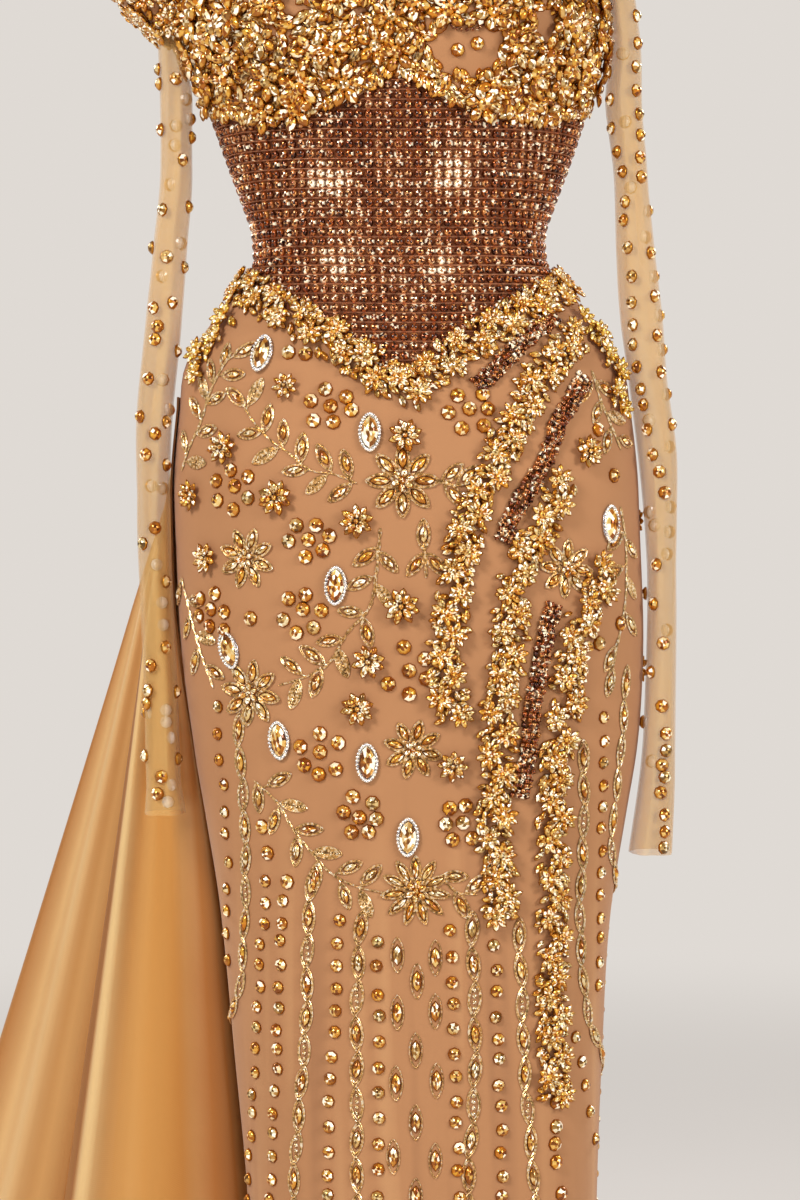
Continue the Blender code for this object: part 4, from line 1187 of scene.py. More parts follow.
class DRESS_OT_cup_stones(bpy.types.Operator):
    """Cover the cups with crystal flowers and navettes, leaving the bare openings"""

    bl_idname = "dress.cup_stones"
    bl_label = "Cup stones"

    def execute(self, context):
        pitch = settings().crystal_pitch / MM
        for side, start, end in (("left", -89.0, -1.0), ("right", 1.0, 89.0)):
            stones = Stones(settings().seed + (2 if side == "left" else 3))
            chance = stones.chance
            angles = np.linspace(start, end, 121)
            low, high = line_height(CUP_EDGE, angles) + 1, line_height(NECKLINE, angles) - 1
            for share, out in ((0.5, 0.3), (0.72, 2.0)):
                angle, z = scatter(angles, low + 2, high, pitch * share, chance, 0.35)
                ground = places_at(angle, z, out)
                ground = picked(ground, clear_of(ground, CUP_OPENINGS, 1.0 if out < 1 else 1.2))
                count = len(ground[0])
                long = chance.uniform(6.4, 8.2, count)
                wide = long * chance.uniform(0.46, 0.58, count)
                size = np.column_stack([wide, long, np.full(count, 3.0)])
                stones.add(
                    "navette", ground, size, chance.uniform(0, 360, count), chance.uniform(-12, 22, count),
                    stones.tones(count, 0.24), chance.uniform(0.32, 0.56, count), painted_glints=0.1,
                )
            angle, z = scatter(angles, low + 6, high, pitch * 1.7, chance, 0.3)
            tops = places_at(angle, z, 2.6)
            tops = picked(tops, clear_of(tops, CUP_OPENINGS, 1.4))
            count = len(tops[0])
            stones.flower(
                tops, chance.uniform(15.0, 17.5, count), 6, chance.uniform(0, 60, count), 16.0, 1.0,
                0.22, 0.5,
            )
            edge_angle, edge_z, turn = even_line(angles, line_height(CUP_EDGE, angles) + 3.5, 4.6)
            edge = places_at(edge_angle, edge_z + chance.uniform(-2, 3, len(edge_z)), 2.0)
            count = len(edge_angle)
            stones.add(
                "navette", edge, np.tile([3.3, 6.4, 2.8], (count, 1)),
                180 + turn - 90 + chance.uniform(-60, 60, count), chance.uniform(4, 26, count),
                stones.tones(count), 0.5, painted_glints=0.12,
            )
            edge_angle, edge_z, turn = even_line(angles, line_height(NECKLINE, angles) - 2.5, 6.5)
            stones.add(
                "round", places_at(edge_angle, edge_z, 1.0), (3.2, 3.2, 2.6), 0, 0,
                chance.uniform(0.1, 0.7, len(edge_z)), 0.5,
            )
            if side == "right":
                angle, z = seen_at([44, 59], [153, 158])
                stones.add("round", places_at(angle, z, 0.4), (5.4, 5.4, 3.4), 10, 0, 0.1, 0.5)
                self.keyhole_leaf()
            stones.piece(f"cup_stones_{side}", [amber(), gold_setting()])
        return {"FINISHED"}


    def keyhole_leaf(self):
        """A small leaf of bronze stones at the top of the bare opening."""
        stones = Stones(settings().seed + 4)
        t = np.linspace(0, 2 * math.pi, 16, endpoint=False)
        angle, z = seen_at(51 + 11.5 * np.cos(t), 172 + 3.6 * np.sin(t))
        turn = stones.chance.uniform(0, 90, 16)
        stones.add("square", places_at(angle, z, 0.4), (1.7, 1.7, 1.7), turn, 0, 0.2, 0.4)
        stones.piece("keyhole_leaf", [bronze(), gold_setting()], slot="bronze_stones")


class DRESS_OT_skirt(bpy.types.Operator):
    """Make the front and the two backs of the skirt in nude net"""

    bl_idname = "dress.skirt"
    bl_label = "Skirt"

    def execute(self, context):
        nude = net_material("skirt_net", tuple(settings().net_colour) + (1.0,), 0.25, 1.1, folded=0.7)
        for name, start, end, columns in (
            ("skirt_front", -90, 90, 96), ("skirt_back_left", -180, -90, 48),
            ("skirt_back_right", 90, 180, 48),
        ):
            make_panel(
                name, start, end, columns, 110, None, WAIST_SEAM, WALL, nude, "nude_mesh",
            )
        return {"FINISHED"}


class DRESS_OT_garlands(bpy.types.Operator):
    """Set the crystal garlands, the cascades and the bronze trails"""

    bl_idname = "dress.garlands"
    bl_label = "Garlands and cascades"

    def execute(self, context):
        number = 10
        for name, (start, end) in GARLAND_ENDS.items():
            angle = np.linspace(start, end, 61)
            self.garland(name, angle, line_height(WAIST_SEAM, angle) - 2.0, 14.0, number)
            number += 1
        for name, line in HIP_GARLANDS.items():
            angle, z = np.array(line, float).T
            self.garland(name, angle, z, 9.0, number)
            number += 1
        for name, line in CASCADES.items():
            angle, z = seen_at(*np.array(line, float).T)
            self.garland(name, angle, z, 13.0, number)
            number += 1
        for name, line in BRONZE_TRAILS.items():
            angle, z = seen_at(*np.array(line, float).T)
            self.trail(name, angle, z, number)
            number += 1
        return {"FINISHED"}

    def garland(self, name, angle, z, half, number):
        """Navettes lie close along the line, with raised flowers over them and leaf pairs at the edges."""
        stones = Stones(settings().seed + number)
        chance = stones.chance
        stones.yellow = 0.55 if name.startswith("hip") else 0.1
        fine_angle, fine_z, turn = even_line(angle, z, 3.0)
        count = len(fine_z)
        for share in (-0.85, -0.5, -0.16, 0.16, 0.5, 0.85):
            side = share * half + chance.uniform(-2.2, 2.2, count)
            places = moved(
                places_at(fine_angle, fine_z, 0.8), side * np.cos(np.radians(turn)),
                -side * np.sin(np.radians(turn)), 2.2 * (1 - abs(share)) + chance.uniform(0, 0.8, count),
            )
            keep = chance.random(count) < 0.42
            places = picked(places, keep)
            many = int(keep.sum())
            long = chance.uniform(4.4, 5.8, many)
            size = np.column_stack([long * chance.uniform(0.46, 0.56, many), long, np.full(many, 2.4)])
            stones.add(
                "navette", places, size, turn[keep] + np.sign(share) * 50 + chance.uniform(-50, 50, many),
                chance.uniform(-6, 20, many), stones.tones(many, 0.32), chance.uniform(0.36, 0.6, many),
                painted_glints=0.12,
            )
        top_angle, top_z, turn = even_line(angle, z, 15.0)
        count = len(top_z)
        side = 0.4 * half * np.where(np.arange(count) % 2 == 0, 1, -1) + chance.uniform(-2, 2, count)
        places = moved(
            places_at(top_angle, top_z, 3.6), side * np.cos(np.radians(turn)),
            -side * np.sin(np.radians(turn)), 0,
        )
        stones.flower(
            places, chance.uniform(9.4, 11.4, count), 8, chance.uniform(0, 60, count), 18.0, 0.8,
            0.36, 0.56,
        )
        stones.piece(name + "_stones", [amber(), gold_setting()], name)

    def trail(self, name, angle, z, number):
        stones = Stones(settings().seed + number)
        chance = stones.chance
        fine_angle, fine_z, turn = even_line(angle, z, 3.7)
        count = len(fine_z)
        for share in (-1.0, -0.35, 0.35, 1.0):
            side = share * 5.2 + chance.uniform(-1.1, 1.1, count)
            places = moved(
                places_at(fine_angle, fine_z, 0.7), side * np.cos(np.radians(turn)),
                -side * np.sin(np.radians(turn)), 2.4 * (1 - abs(share)) + chance.uniform(0, 1.2, count),
            )
            stones.add(
                "square", places, (2.7, 2.7, 2.6), turn + chance.uniform(-40, 40, count),
                chance.uniform(-24, 24, count), chance.uniform(0, 0.3, count),
                chance.uniform(0.2, 0.55, count), spread=0.45, painted_glints=0.1,
            )
        stones.piece(name + "_stones", [bronze(), gold_setting()], name, slot="bronze_stones")


class DRESS_OT_ornaments(bpy.types.Operator):
    """Set the brooches, rosettes, star flowers and round stones on the skirt"""

    bl_idname = "dress.ornaments"
    bl_label = "Skirt ornaments"

    def execute(self, context):
        self.brooches()
        self.rosettes()
        self.stars()
        self.round_stones()
        return {"FINISHED"}

    def brooches(self):
        stones = Stones(settings().seed + 30)
        across, height, turn = np.array(BROOCHES, float).T
        angle, z = seen_at(across, height)
        places = places_at(angle, z, 1.6)
        stones.add(
            "brooch", places, (6.4, 12.2, 4.6), turn, 0, stones.chance.uniform(0, 0.6, len(z)), 0.5,
            spread=0.5, painted_glints=0.16,
        )
        stones.piece("brooch_stones", [amber(), gold_setting()], slot="brooch_glass")
        rim = Stones(settings().seed + 31)
        steps = 30
        t = np.tile(np.linspace(0, 2 * math.pi, steps, endpoint=False), len(across))
        x = 7.4 * np.sign(np.sin(t)) * np.abs(np.sin(t)) ** 1.15
        y = 13.4 * np.cos(t)
        many = picked(places, np.repeat(np.arange(len(across)), steps))
        turns = np.radians(np.repeat(turn, steps))
        sideways, upright = x * np.cos(turns) + y * np.sin(turns), y * np.cos(turns) - x * np.sin(turns)
        set_in = moved(many, sideways, upright, 0.6)
        rim.add("bead", set_in, (1.35, 1.35, 1.5), 0, 0, 1.0, 0.75, spread=0.25, painted_glints=0.25)
        under = Stones(settings().seed + 32)
        under.add("brooch", moved(places, 0, 0, -0.9), (8.6, 14.8, 1.9), turn, 0, 1.0, 0.4)
        rim.piece("brooch_rims", [stone_material(
            "silver_stone",
            [(0.0, tint(96, 92, 98)), (0.5, tint(198, 196, 204)), (1.0, tint(255, 255, 255))],
            [(0.0, tint(96, 92, 98)), (0.5, tint(206, 204, 212)), (1.0, tint(255, 255, 255))],
            metallic=0.7,
        ), silver_setting()], *[f"brooch_{k + 1}" for k in range(len(BROOCHES))])
        under.piece("brooch_backs", [silver_setting(), silver_setting()], slot="brooch_glass")

    def rosettes(self):
        stones = Stones(settings().seed + 33)
        across, height, radius = np.array(ROSETTES, float).T
        angle, z = seen_at(across, height)
        places = places_at(angle, z, 1.0)
        count = len(radius)
        self.rosette_layers(stones, places, radius)
        stones.piece("rosettes", [amber(), gold_setting()], *[f"rosette_{k + 1}" for k in range(count)])
        back = Stones(settings().seed + 34)
        angle = np.array([104, 122, 141, 112, 133, 101, 124, 143, 110, 134, 100.0])
        z = np.array([-92, -104, -96, -150, -158, -206, -214, -206, -268, -272, -320.0])
        count = len(z)
        places = places_at(angle, z, 1.0)
        radius = back.chance.uniform(11.5, 14.5, count)
        self.rosette_layers(back, places, radius)
        back.piece("rosettes_back", [amber(), gold_setting()])

    def rosette_layers(self, stones, places, radius):
        turn = stones.chance.uniform(0, 40, len(radius))
        stones.flower(places, radius, 8, turn, 14.0, 1.0, 0.25, 0.46, heart=0)
        above = moved(places, 0, 0, 2.0)
        stones.flower(above, radius * 0.8, 7, turn + 24, 24.0, 1.0, 0.45, 0.56, heart=0.2)

    def stars(self):
        stones = Stones(settings().seed + 35)
        loops, outs = [], []
        for across, height, radius, petals, turn in STARS:
            angle, z = seen_at([float(across)], [float(height)])
            places = places_at(angle, z, 0.5)
            around = turn + np.arange(petals) * 360.0 / petals
            many = picked(places, np.zeros(petals, int))
            away = radius * 0.6
            set_in = moved(many, away * np.sin(np.radians(around)), away * np.cos(np.radians(around)), 0)
            wide = min(0.21, 1.5 / petals)
            stones.add(
                "navette", set_in, (radius * wide * 0.66, radius * 0.29, 2.6), around, 3,
                stones.tones(petals, 0.3), 0.52, painted_glints=0.1,
            )
            stones.flower(moved(places, 0, 0, 0.8), radius * 0.34, 6, 10, 20.0, 1.0, 0.6, 0.6, heart=0.3)
            for share in (1.0, 0.84):
                loop, out = leaf_loops(set_in, around, radius * 0.4 * share, radius * wide * share)
                loops.append(loop)
                outs.append(out)
        stones.piece("star_flowers", [amber(), gold_setting()])
        points, faces = threads(np.concatenate(loops), np.concatenate(outs), 0.6, closed=True)
        piece = make_piece("star_flower_threads", points, faces, [thread_material()])
        finish_piece(piece, "nude_mesh")

    def round_stones(self):
        stones = Stones(settings().seed + 36)
        chance = stones.chance
        radius = settings().round_stone / MM / 2
        across, height = np.array(ROUND_STONES, float).T
        rows = [
            np.column_stack([np.linspace(x0, x1, count), np.linspace(z0, z1, count)])
            for x0, z0, x1, z1, count in STONE_ROWS
        ]
        row_across, row_height = np.concatenate(rows).T
        row_across = row_across + chance.uniform(-1.5, 1.5, len(row_across))
        row_height = row_height + chance.uniform(-2, 2, len(row_height))
        angle, z = seen_at(np.concatenate([across, row_across]), np.concatenate([height, row_height]))
        share = np.where(np.arange(len(z)) < len(across), 1.0, 0.86)
        size = share[:, None] * [radius, radius, radius * 0.75]
        count = len(z)
        stones.add(
            "round", places_at(angle, z, 0.3), size, chance.uniform(0, 45, count),
            chance.uniform(-5, 5, count), stones.tones(count, 0.25), chance.uniform(0.42, 0.58, count),
            spread=0.42, painted_glints=0.09,
        )
        columns = np.concatenate([np.arange(97, 166, 8.0), np.arange(-124, -92, 8.0)])
        for number, column in enumerate(columns):
            if number % 2 == 0:
                self.plain_row(stones, column, np.arange(-372, -1040, -21.0), radius)
        for column in np.arange(-64, 90, 12.0):
            self.plain_row(stones, column, np.arange(-752, -1050, -22.0), radius)
        stones.piece("round_stones", [amber(), gold_setting()])

    def plain_row(self, stones, column, z, radius):
        """An upright row of slightly smaller round stones, below and behind what the photograph shows."""
        count, chance = len(z), stones.chance
        stones.add(
            "round", places_at(np.full(count, column), z, 0.3),
            (radius * 0.86, radius * 0.86, radius * 0.65), chance.uniform(0, 45, count), 0,
            chance.uniform(0, 0.5, count), 0.5, spread=0.42,
        )


def leaf_loops(places, turn, half_length, half_width, steps=14):
    """Leaf outlines: across = width sin t |sin t|^0.5 and along = -length cos t, turned on each place."""
    t = np.linspace(0, 2 * math.pi, steps, endpoint=False)
    x = np.sign(np.sin(t)) * np.abs(np.sin(t)) ** 1.5
    y = -np.cos(t)
    count = len(places[0])
    turn = np.radians(np.broadcast_to(turn, count))[:, None]
    across = np.broadcast_to(half_width, count)[:, None] * x
    along = np.broadcast_to(half_length, count)[:, None] * y
    point, round_way, upward, outward = places
    u = across * np.cos(turn) + along * np.sin(turn)
    v = along * np.cos(turn) - across * np.sin(turn)
    loop = point[:, None] + round_way[:, None] * u[..., None] + upward[:, None] * v[..., None]
    return loop + outward[:, None] * 0.3, np.broadcast_to(outward[:, None], loop.shape)


class DRESS_OT_embroidery(bpy.types.Operator):
    """Embroider the leaf sprays, the leaf chains and the single navettes"""

    bl_idname = "dress.embroidery"
    bl_label = "Embroidery"

    def execute(self, context):
        stones = Stones(settings().seed + 40)
        chance = stones.chance
        loops, outs, stems, stalks = [], [], [], []
        for stem, leaves in SPRAYS:
            stem_angle, stem_z = seen_at(*np.array(stem, float).T)
            fine_angle, fine_z, turn = even_line(stem_angle, stem_z, 2.5)
            stems.append((fine_angle, fine_z))
            line = places_at(fine_angle, fine_z)[0]
            angle, z = seen_at(*np.array(leaves, float).T)
            places = places_at(angle, z, 0.5)
            gaps = np.linalg.norm(places[0][:, None] - line[None], axis=-1)
            nearest = np.clip(gaps.argmin(axis=1) - 3, 0, len(line) - 1)
            away = places[0] - line[nearest]
            lean = np.degrees(
                np.arctan2((away * places[1]).sum(axis=-1), (away * places[2]).sum(axis=-1))
            )
            half = chance.uniform(9.6, 11.6, len(z))
            for share in (1.0, 0.84):
                loop, out = leaf_loops(places, lean, half * share, half * 0.42 * share)
                loops.append(loop)
                outs.append(out)
            sewn = np.arange(len(z)) % 4 == 3
            for share in (0.66, 0.46, 0.24):
                long = half[sewn] * share
                loop, out = leaf_loops(picked(places, sewn), lean[sewn], long, 0.42 * long)
                loops.append(loop)
                outs.append(out)
            set_in, long = picked(places, ~sewn), half[~sewn]
            stones.add(
                "navette", set_in, np.column_stack([long * 0.27, long * 0.6, np.full(len(long), 2.6)]),
                lean[~sewn], 4, stones.tones(len(long), 0.35), 0.52, spread=0.4, painted_glints=0.1,
            )
            base = moved(
                places, -half * np.sin(np.radians(lean)), -half * np.cos(np.radians(lean)), 0.2
            )[0]
            stalk = np.stack([line[nearest], (line[nearest] + base) / 2 + places[3] * 0.6, base], axis=1)
            stalks.append((stalk, np.repeat(places[3][:, None], 3, axis=1)))
        for chain in self.chains():
            angle, z, turn = even_line(*chain, 25.0)
            places = places_at(angle, z, 0.5)
            wave = np.where(np.arange(len(z)) % 2 == 0, 5, -5)
            for share in (1.0, 0.82):
                loop, out = leaf_loops(places, turn + wave, 13.2 * share, 4.9 * share)
                loops.append(loop)
                outs.append(out)
            beaded = np.arange(len(z)) % 3 == 2
            stones.add(
                "navette", picked(places, ~beaded), (3.3, 7.4, 2.8), (turn + wave)[~beaded], 3,
                stones.tones(int((~beaded).sum()), 0.2), 0.5, spread=0.4, painted_glints=0.1,
            )
            for step in (-6.5, -2.2, 2.2, 6.5):
                set_in = moved(picked(places, beaded), 0, step, 0)
                many = int(beaded.sum())
                stones.add("bead", set_in, (1.7, 1.7, 1.3), chance.uniform(0, 45, many), 0, 0.9, 0.62)
        angle, z = seen_at(*np.array(CENTRE_NAVETTES, float).T)
        places = places_at(angle, z, 0.4)
        stones.add(
            "navette", places, (3.7, 8.2, 3.0), 0, 2, stones.tones(len(z), 0.2), 0.5, spread=0.4, painted_glints=0.1
        )
        loop, out = leaf_loops(places, 0.0, 13.0, 4.6)
        loops.append(loop)
        outs.append(out)
        stones.piece("embroidery_stones", [amber(), gold_setting()])
        points, faces = threads(np.concatenate(loops), np.concatenate(outs), 0.6, closed=True)
        parts, used = [(points, faces)], len(points)
        lines = [threads(stalk, out, 0.6) for stalk, out in stalks]
        for angle, z in stems:
            for wave in (0.9, -0.9):
                swing = wave * np.sin(np.arange(len(z)) * 0.9)
                places = moved(places_at(angle, z, 0.7), swing, 0, 0)
                lines.append(threads(places[0][None], places[3][None], 0.55))
        for line, faces in lines:
            parts.append((line, faces + used))
            used += len(line)
        piece = make_piece(
            "gold_embroidery", np.concatenate([p for p, _ in parts]), np.concatenate([f for _, f in parts]),
            [thread_material()],
        )
        finish_piece(piece, "nude_mesh")
        return {"FINISHED"}

    def chains(self):
        """The chains of the photograph's view, then plain ones below it and round the back."""
        for line in LEAF_CHAINS:
            yield seen_at(*np.array(line, float).T)
        for column in np.arange(-70, 92, 12.0):
            z = np.linspace(-768, -1046, 8)
            yield np.full(8, column), z
        columns = np.concatenate([np.arange(97, 166, 8.0), np.arange(-124, -92, 8.0)])
        for number, column in enumerate(columns):
            if number % 2 == 1:
                yield np.full(12, column), np.linspace(-362, -1046, 12)


def rounded(values, reach):
    """Softens the turns of a line: each value becomes a bell-weighted mean of its neighbours, ends kept."""
    if reach == 0:
        return values
    weights = np.hanning(2 * reach + 3)[1:-1]
    before, after = 2 * values[0] - values[reach:0:-1], 2 * values[-1] - values[-2 : -reach - 2 : -1]
    padded = np.concatenate([before, values, after])
    return np.convolve(padded, weights / weights.sum(), mode="valid")


def oval(turns, half_width, half_depth, fold):
    """Oval x = w sin|sin|^0.85, y = -d cos, with a soft crease in front and behind."""
    crease = 1 - fold * np.exp(-((np.sin(turns) / 0.32) ** 2))
    x = half_width * np.sign(np.sin(turns)) * np.abs(np.sin(turns)) ** 0.85
    return x, -half_depth * np.cos(turns) * crease


class DRESS_OT_sleeves(bpy.types.Operator):
    """Make the limp tulle sleeves, their stones and their beaded heads"""

    bl_idname = "dress.sleeves"
    bl_label = "Sleeves"

    def execute(self, context):
        for side, table, sign, front, back in (
            ("left", LEFT_SLEEVE, -1, LEFT_SLEEVE_FRONT, LEFT_SLEEVE_BACK),
            ("right", RIGHT_SLEEVE, 1, RIGHT_SLEEVE_FRONT, RIGHT_SLEEVE_BACK),
        ):
            self.tube(side, table)
            self.head(side, table, sign)
            self.stones(side, table, front, back)
        return {"FINISHED"}

    def tube(self, side, table):
        """The tube's oval, with soft creases that drift round it on the way down."""
        z = np.linspace(table[-1, 0], table[0, 0] - SEAM_GAP, 90)[:, None]
        middle, half_width, half_depth = [smooth(table[:, 0], table[:, c], z) for c in (1, 2, 3)]
        turns = np.linspace(0, 2 * math.pi, 48, endpoint=False)[None, :]
        crease = 0.5 * np.sin(5 * turns + z / 55.0) + 0.4 * np.sin(9 * turns - z / 38.0) - 0.5
        x, y = oval(turns, half_width + crease, half_depth + 1.6 * crease, SLEEVE_FOLD)
        inner_x, inner_y = oval(
            turns, half_width + crease - TULLE_WALL, half_depth + 1.6 * crease - 1.6 * TULLE_WALL,
            SLEEVE_FOLD,
        )
        outer = np.stack([middle + x, SLEEVE_MIDDLE_Y + y, z + 0 * x], axis=-1)
        inner = np.stack([middle + inner_x, SLEEVE_MIDDLE_Y + inner_y, z + 0 * x], axis=-1)
        piece = cloth_piece(f"sleeve_{side}_tulle", outer, inner, tulle_material(), ring=True)
        finish_piece(piece, "tulle", f"sleeve_{side}")
        declare_cloth(outer, ring=True)

    def head(self, side, table, sign):
        top_z = table[0, 0]
        share = np.linspace(0, 1, 30)
        z = top_z + (SLEEVE_HEAD_TOP_Z - top_z) * share
        growth = [smooth(SLEEVE_HEAD[:, 0], SLEEVE_HEAD[:, c], share) for c in (1, 2)]
        half_width, half_depth = table[0, 2] + growth[0], table[0, 3] + growth[1]
        beside = bare_point(90.0 * sign, z)[:, 0] + sign * (0.6 * LIFT + half_width)
        middle = (beside + (table[0, 1] - beside[0]) * (1 - share) ** 5)[:, None]
        turns = np.linspace(0, 2 * math.pi, 64, endpoint=False)[None, :]
        x, y = oval(turns, half_width[:, None], half_depth[:, None], 0.0)
        inner_x, inner_y = oval(
            turns, half_width[:, None] - SLEEVE_HEAD_WALL, half_depth[:, None] - 1.6 * SLEEVE_HEAD_WALL, 0.0
        )
        z = z[:, None] + 0 * x
        outer = np.stack([middle + x, SLEEVE_MIDDLE_Y + y, z], axis=-1)
        inner = np.stack([middle + inner_x, SLEEVE_MIDDLE_Y + inner_y, z], axis=-1)
        nude = net_material(f"sleeve_head_net_{side}", tuple(settings().net_colour) + (1.0,), 0.25, 1.1)
        piece = cloth_piece(f"sleeve_head_{side}_net", outer, inner, nude, ring=True)
        finish_piece(piece, "crystal", f"sleeve_head_{side}")
        declare_cloth(outer, ring=True)
        stones = Stones(settings().seed + (50 if side == "left" else 51))
        chance = stones.chance
        outward = -grid_normals(np.concatenate([outer[:, -1:], outer, outer[:, :1]], axis=1))[:, 1:-1]
        axis_line = np.stack([middle + 0 * x, SLEEVE_MIDDLE_Y + 0 * x, z], axis=-1)
        away = (outward * (outer - axis_line)).sum(-1, keepdims=True)
        outward = np.where(away > 0, outward, -outward)
        clear = outer[..., 0] * sign > (middle * sign) - 0.86 * half_width[:, None]
        picks = np.argwhere(clear)
        chosen = picks[chance.permutation(len(picks))[:490]]
        point, out = outer[chosen[:, 0], chosen[:, 1]], outward[chosen[:, 0], chosen[:, 1]]
        round_way = unit(np.cross(np.array([0.0, 0.0, 1.0]), out))
        places = (point + out * 0.4, round_way, np.cross(out, round_way), out)
        count = len(point)
        wide, long = chance.uniform(2.4, 3.2, count), chance.uniform(5.4, 7.0, count)
        size = np.column_stack([wide, long, np.full(count, 2.6)])
        stones.add(
            "navette", places, size, chance.uniform(0, 360, count), chance.uniform(-4, 14, count),
            stones.tones(count, 0.34), chance.uniform(0.36, 0.6, count), painted_glints=0.12,
        )
        first = picked(places, np.arange(0, count, 9))
        turn = chance.uniform(0, 60, len(first[0]))
        stones.flower(moved(first, 0, 0, 1.2), 10.5, 7, turn, 18.0, 0.6, 0.4, 0.56)
        stones.piece(f"sleeve_head_{side}_stones", [amber(), gold_setting()])

    def on_tube(self, table, across, height, front):
        """Places on a tube's front or back where a line of sight from the viewpoint meets it."""
        across, height = np.array(across, float), np.array(height, float)
        sign = -1.0 if front else 1.0
        y = np.full(across.shape, -30.0 * -sign)
        for _ in range(4):
            nearer = (VIEW_DISTANCE + y) / VIEW_DISTANCE
            x, z = across * nearer, VIEW_Z + (height - VIEW_Z) * nearer
            z = np.clip(z, table[-1, 0] + 5, table[0, 0] - 5)
            middle, half_width, half_depth = [smooth(table[:, 0], table[:, c], z) for c in (1, 2, 3)]
            share = np.clip((x - middle) / half_width, -0.94, 0.94)
            turn = np.arcsin(np.sign(share) * np.abs(share) ** (1 / 0.85))
            _, depth = oval(turn, half_width, half_depth, SLEEVE_FOLD)
            y = SLEEVE_MIDDLE_Y - sign * depth
        x = middle + share * half_width
        out = unit(np.stack([share * 1.6, sign * np.cos(turn), 0 * share], axis=-1))
        round_way = unit(np.cross(np.array([0.0, 0.0, 1.0]), out))
        return np.stack([x, y, z], axis=-1) + out * 0.2, round_way, np.cross(out, round_way), out

    def stones(self, side, table, front, back):
        radius = settings().round_stone / MM / 2 * 0.9
        stones = Stones(settings().seed + (52 if side == "left" else 53))
        chance = stones.chance
        places = self.on_tube(table, *np.array(front, float).T, True)
        count = len(front)
        stones.add(
            "round", places, (radius, radius, radius * 0.75), chance.uniform(0, 45, count), 0,
            stones.tones(count, 0.3), chance.uniform(0.42, 0.58, count), spread=0.42, painted_glints=0.09,
        )
        stones.piece(f"sleeve_{side}_stones", [amber(), gold_setting()])
        far = Stones(settings().seed + (54 if side == "left" else 55))
        places = self.on_tube(table, *np.array(back, float).T, False)
        far.add("round", places, (radius, radius, radius * 0.75), 0, 0, 0.2, 0.5)
        inside = moved(places, 0, 0, -TULLE_WALL - 1.6)
        far.piece(f"sleeve_{side}_far_stones", [amber(), gold_setting()])
        foil = Stones(settings().seed)
        foil.add("bead", inside, (radius * 0.9, radius * 0.9, 1.2))
        foil.piece(f"sleeve_{side}_foils", [milky_material(), milky_material()])


class DRESS_OT_train(bpy.types.Operator):
    """Drape the satin train from the back of the hips to the floor"""

    bl_idname = "dress.train"
    bl_label = "Train"

    def execute(self, context):
        folds = np.arange(len(TRAIN_FOLDS))
        fine = np.concatenate([np.linspace(0, 11, 133), np.linspace(11, folds[-1], 105)[1:]])
        seam_angle, floor_x, floor_y, hem_x, hem_y = [
            rounded(smooth(folds, TRAIN_FOLDS[:, c], fine), 0 if c == 0 else 7) for c in range(5)
        ]
        top_angles, top_heights = np.array(TRAIN_TOP, float).T
        top_z = smooth(top_angles, top_heights, seam_angle)
        least_out = LIFT + SATIN_WALL + 0.4 * TRAIN_CLEAR
        top = places_at(seam_angle, top_z, least_out)[0]
        steps = np.concatenate([np.linspace(0, 7, 46), np.linspace(7, 11, 31)[1:]])
        number = np.arange(len(TRAIN_ROWS))
        down, out = [smooth(number, column, steps)[:, None] for column in np.array(TRAIN_ROWS, float).T]
        z = top_z + (HEM_Z + SATIN_WALL - top_z) * down
        floor, hem_line = np.stack([floor_x, floor_y], axis=-1), np.stack([hem_x, hem_y], axis=-1)
        flat = top[:, :2] + (floor - top[:, :2]) * down[..., None] + (hem_line - floor) * out[..., None]
        middle = section(z)[3]
        offset = flat - np.stack([middle, 0 * middle], axis=-1)
        reach = np.linalg.norm(offset, axis=-1)
        angle = np.degrees(np.arctan2(offset[..., 0], -offset[..., 1]))
        least = body_radius(angle, z) + LIFT + SATIN_WALL + TRAIN_CLEAR * (0.4 + down)
        soft = TRAIN_SOFTNESS * np.clip(down * 6, 0.02, 1)
        kept = (reach + least + np.sqrt((reach - least) ** 2 + soft**2)) / 2
        flat = np.stack([middle, 0 * middle], axis=-1) + offset * (kept / reach)[..., None]
        outer = np.concatenate([flat, z[..., None]], axis=-1)[::-1]
        share, free = down[::-1], np.clip((kept - least)[::-1] / 30.0, 0, 1) * (1 - out[::-1])
        lean = fine[None, :] + 0.35 * (share - 0.5)
        swell = 3.0 * np.sin(lean * 5.1 + 1.3 * np.sin(lean * 1.7)) * np.sin(math.pi * share) ** 0.7
        for place, wide, rise in TRAIN_FRONT_ROLLS:
            swell = swell + rise * share**0.8 * np.exp(-(((fine[None, :] - place) / wide) ** 2))
        outer = outer + grid_normals(outer) * (swell * free)[..., None] * [1.0, 1.0, 0.0]
        outer[..., 2] = np.maximum(outer[..., 2], HEM_Z + SATIN_WALL)
        inner = outer - grid_normals(outer) * SATIN_WALL
        piece = cloth_piece("train_satin", outer, inner, satin_material())
        fold = piece.data.attributes.new("fold", "FLOAT", "POINT")
        fold.data.foreach_set("value", np.tile(fine, 2 * len(steps)).astype(np.float32))
        finish_piece(piece, "satin", "train")
        declare_cloth(outer)
        return {"FINISHED"}


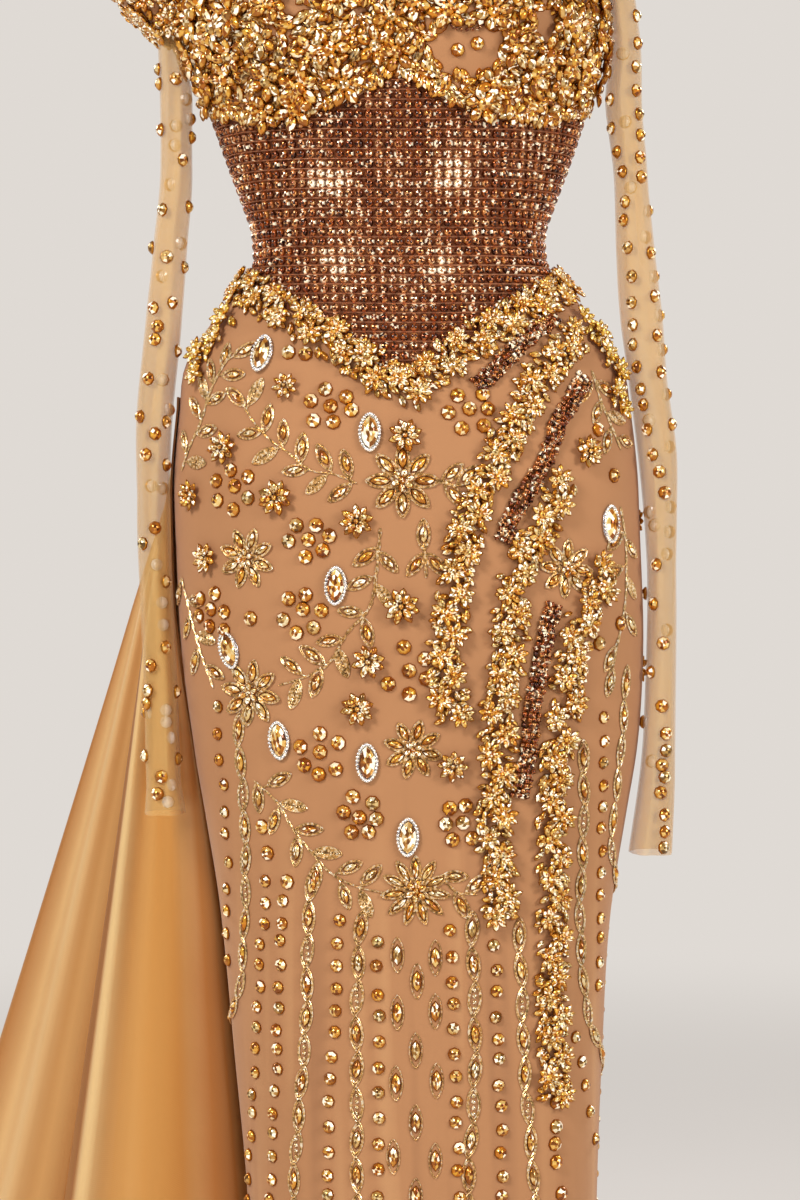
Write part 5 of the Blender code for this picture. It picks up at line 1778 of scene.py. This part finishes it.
class DRESS_OT_stage(bpy.types.Operator):
    """Set up the pale floor, the soft studio lights and the camera"""

    bl_idname = "dress.stage"
    bl_label = "Studio"

    def execute(self, context):
        scene = context.scene
        colour = tuple(settings().floor_colour) + (1.0,)
        shader = Shader("studio_floor", Roughness=0.8, Specular_IOR_Level=0.0)
        where = shader.coordinates()
        speckle = shader.noise(where, 3.0)
        distance = shader.node("ShaderNodeVectorMath", {"operation": "LENGTH"}, {0: where}, "Value")
        far = shader.node(
            "ShaderNodeMapRange", {"interpolation_type": "SMOOTHSTEP"},
            {"Value": distance, "From Min": FLOOR_FADE[0], "From Max": FLOOR_FADE[1]},
        )
        near = shader.blend(speckle, scaled(colour, 0.985), scaled(colour, 1.015))
        shader.drive(Base_Color=shader.blend(far, near, (0.0, 0.0, 0.0, 1.0)))
        shader.drive(Emission_Color=shader.blend(far, (0.0, 0.0, 0.0, 1.0), BACKDROP_COLOUR))
        shader.surface.inputs["Emission Strength"].default_value = 1.0
        sides, level = 96, HEM_Z - 0.5
        turns = np.linspace(0, 2 * math.pi, sides, endpoint=False)
        rim = np.column_stack(
            [FLOOR_RADIUS * np.cos(turns), FLOOR_RADIUS * np.sin(turns), np.full(sides, level)]
        )
        middle = np.array([[0.0, 0.0, level]])
        first = np.arange(sides)
        faces = np.column_stack([np.full(sides, sides), first, (first + 1) % sides])
        floor = make_piece("studio_floor", np.concatenate([rim, middle]), faces, [shader.material])
        world = bpy.data.worlds.new("studio")
        scene.world = world
        world.use_nodes = True
        tree = world.node_tree
        background = tree.nodes["Background"]
        background.inputs["Color"].default_value = WORLD_COLOUR
        background.inputs["Strength"].default_value = WORLD_STRENGTH
        backdrop = tree.nodes.new("ShaderNodeBackground")
        backdrop.inputs["Color"].default_value = BACKDROP_COLOUR
        mixed, path = tree.nodes.new("ShaderNodeMixShader"), tree.nodes.new("ShaderNodeLightPath")
        tree.links.new(path.outputs["Is Camera Ray"], mixed.inputs[0])
        tree.links.new(background.outputs[0], mixed.inputs[1])
        tree.links.new(backdrop.outputs[0], mixed.inputs[2])
        tree.links.new(mixed.outputs[0], tree.nodes["World Output"].inputs["Surface"])
        for name, where, size, power in LIGHTS:
            lamp = bpy.data.lights.new(name, "AREA")
            lamp.energy, lamp.size = power, size
            light = bpy.data.objects.new(name, lamp)
            light.location = where
            aim = Vector(LIGHTS_AIM) - light.location
            light.rotation_euler = aim.to_track_quat("-Z", "Y").to_euler()
            scene.collection.objects.link(light)
        lens = bpy.data.cameras.new("camera")
        lens.lens, lens.sensor_width, lens.sensor_fit = settings().lens, 36.0, "AUTO"
        camera = bpy.data.objects.new("camera", lens)
        camera.location = (0.0, -VIEW_DISTANCE * MM, VIEW_Z * MM)
        camera.rotation_euler = (math.pi / 2, 0.0, 0.0)
        scene.collection.objects.link(camera)
        scene.camera = camera
        scene.view_settings.view_transform = "Standard"
        return {"FINISHED"}


class DRESS_PT_panel(bpy.types.Panel):
    """The dress's settings and the operators that make it"""

    bl_idname = "DRESS_PT_panel"
    bl_label = "Column evening dress"
    bl_space_type = "VIEW_3D"
    bl_region_type = "UI"
    bl_category = "Dress"

    def draw(self, context):
        for key in DressSettings.__annotations__:
            self.layout.prop(context.scene.column_dress, key)
        for operator in OPERATORS:
            self.layout.operator(operator.bl_idname)


OPERATORS = (
    DRESS_OT_bodice, DRESS_OT_waist_stones, DRESS_OT_cup_stones, DRESS_OT_skirt, DRESS_OT_garlands,
    DRESS_OT_ornaments, DRESS_OT_embroidery, DRESS_OT_sleeves, DRESS_OT_train, DRESS_OT_stage,
)
CLASSES = (DressSettings, DRESS_PT_panel) + OPERATORS


def register():
    for item in CLASSES:
        bpy.utils.register_class(item)
    bpy.types.Scene.column_dress = PointerProperty(type=DressSettings)


def unregister():
    del bpy.types.Scene.column_dress
    for item in reversed(CLASSES):
        bpy.utils.unregister_class(item)


def main():
    register()
    for operator in OPERATORS:
        group, name = operator.bl_idname.split(".")
        getattr(getattr(bpy.ops, group), name)()


if __name__ == "__main__":
    main()
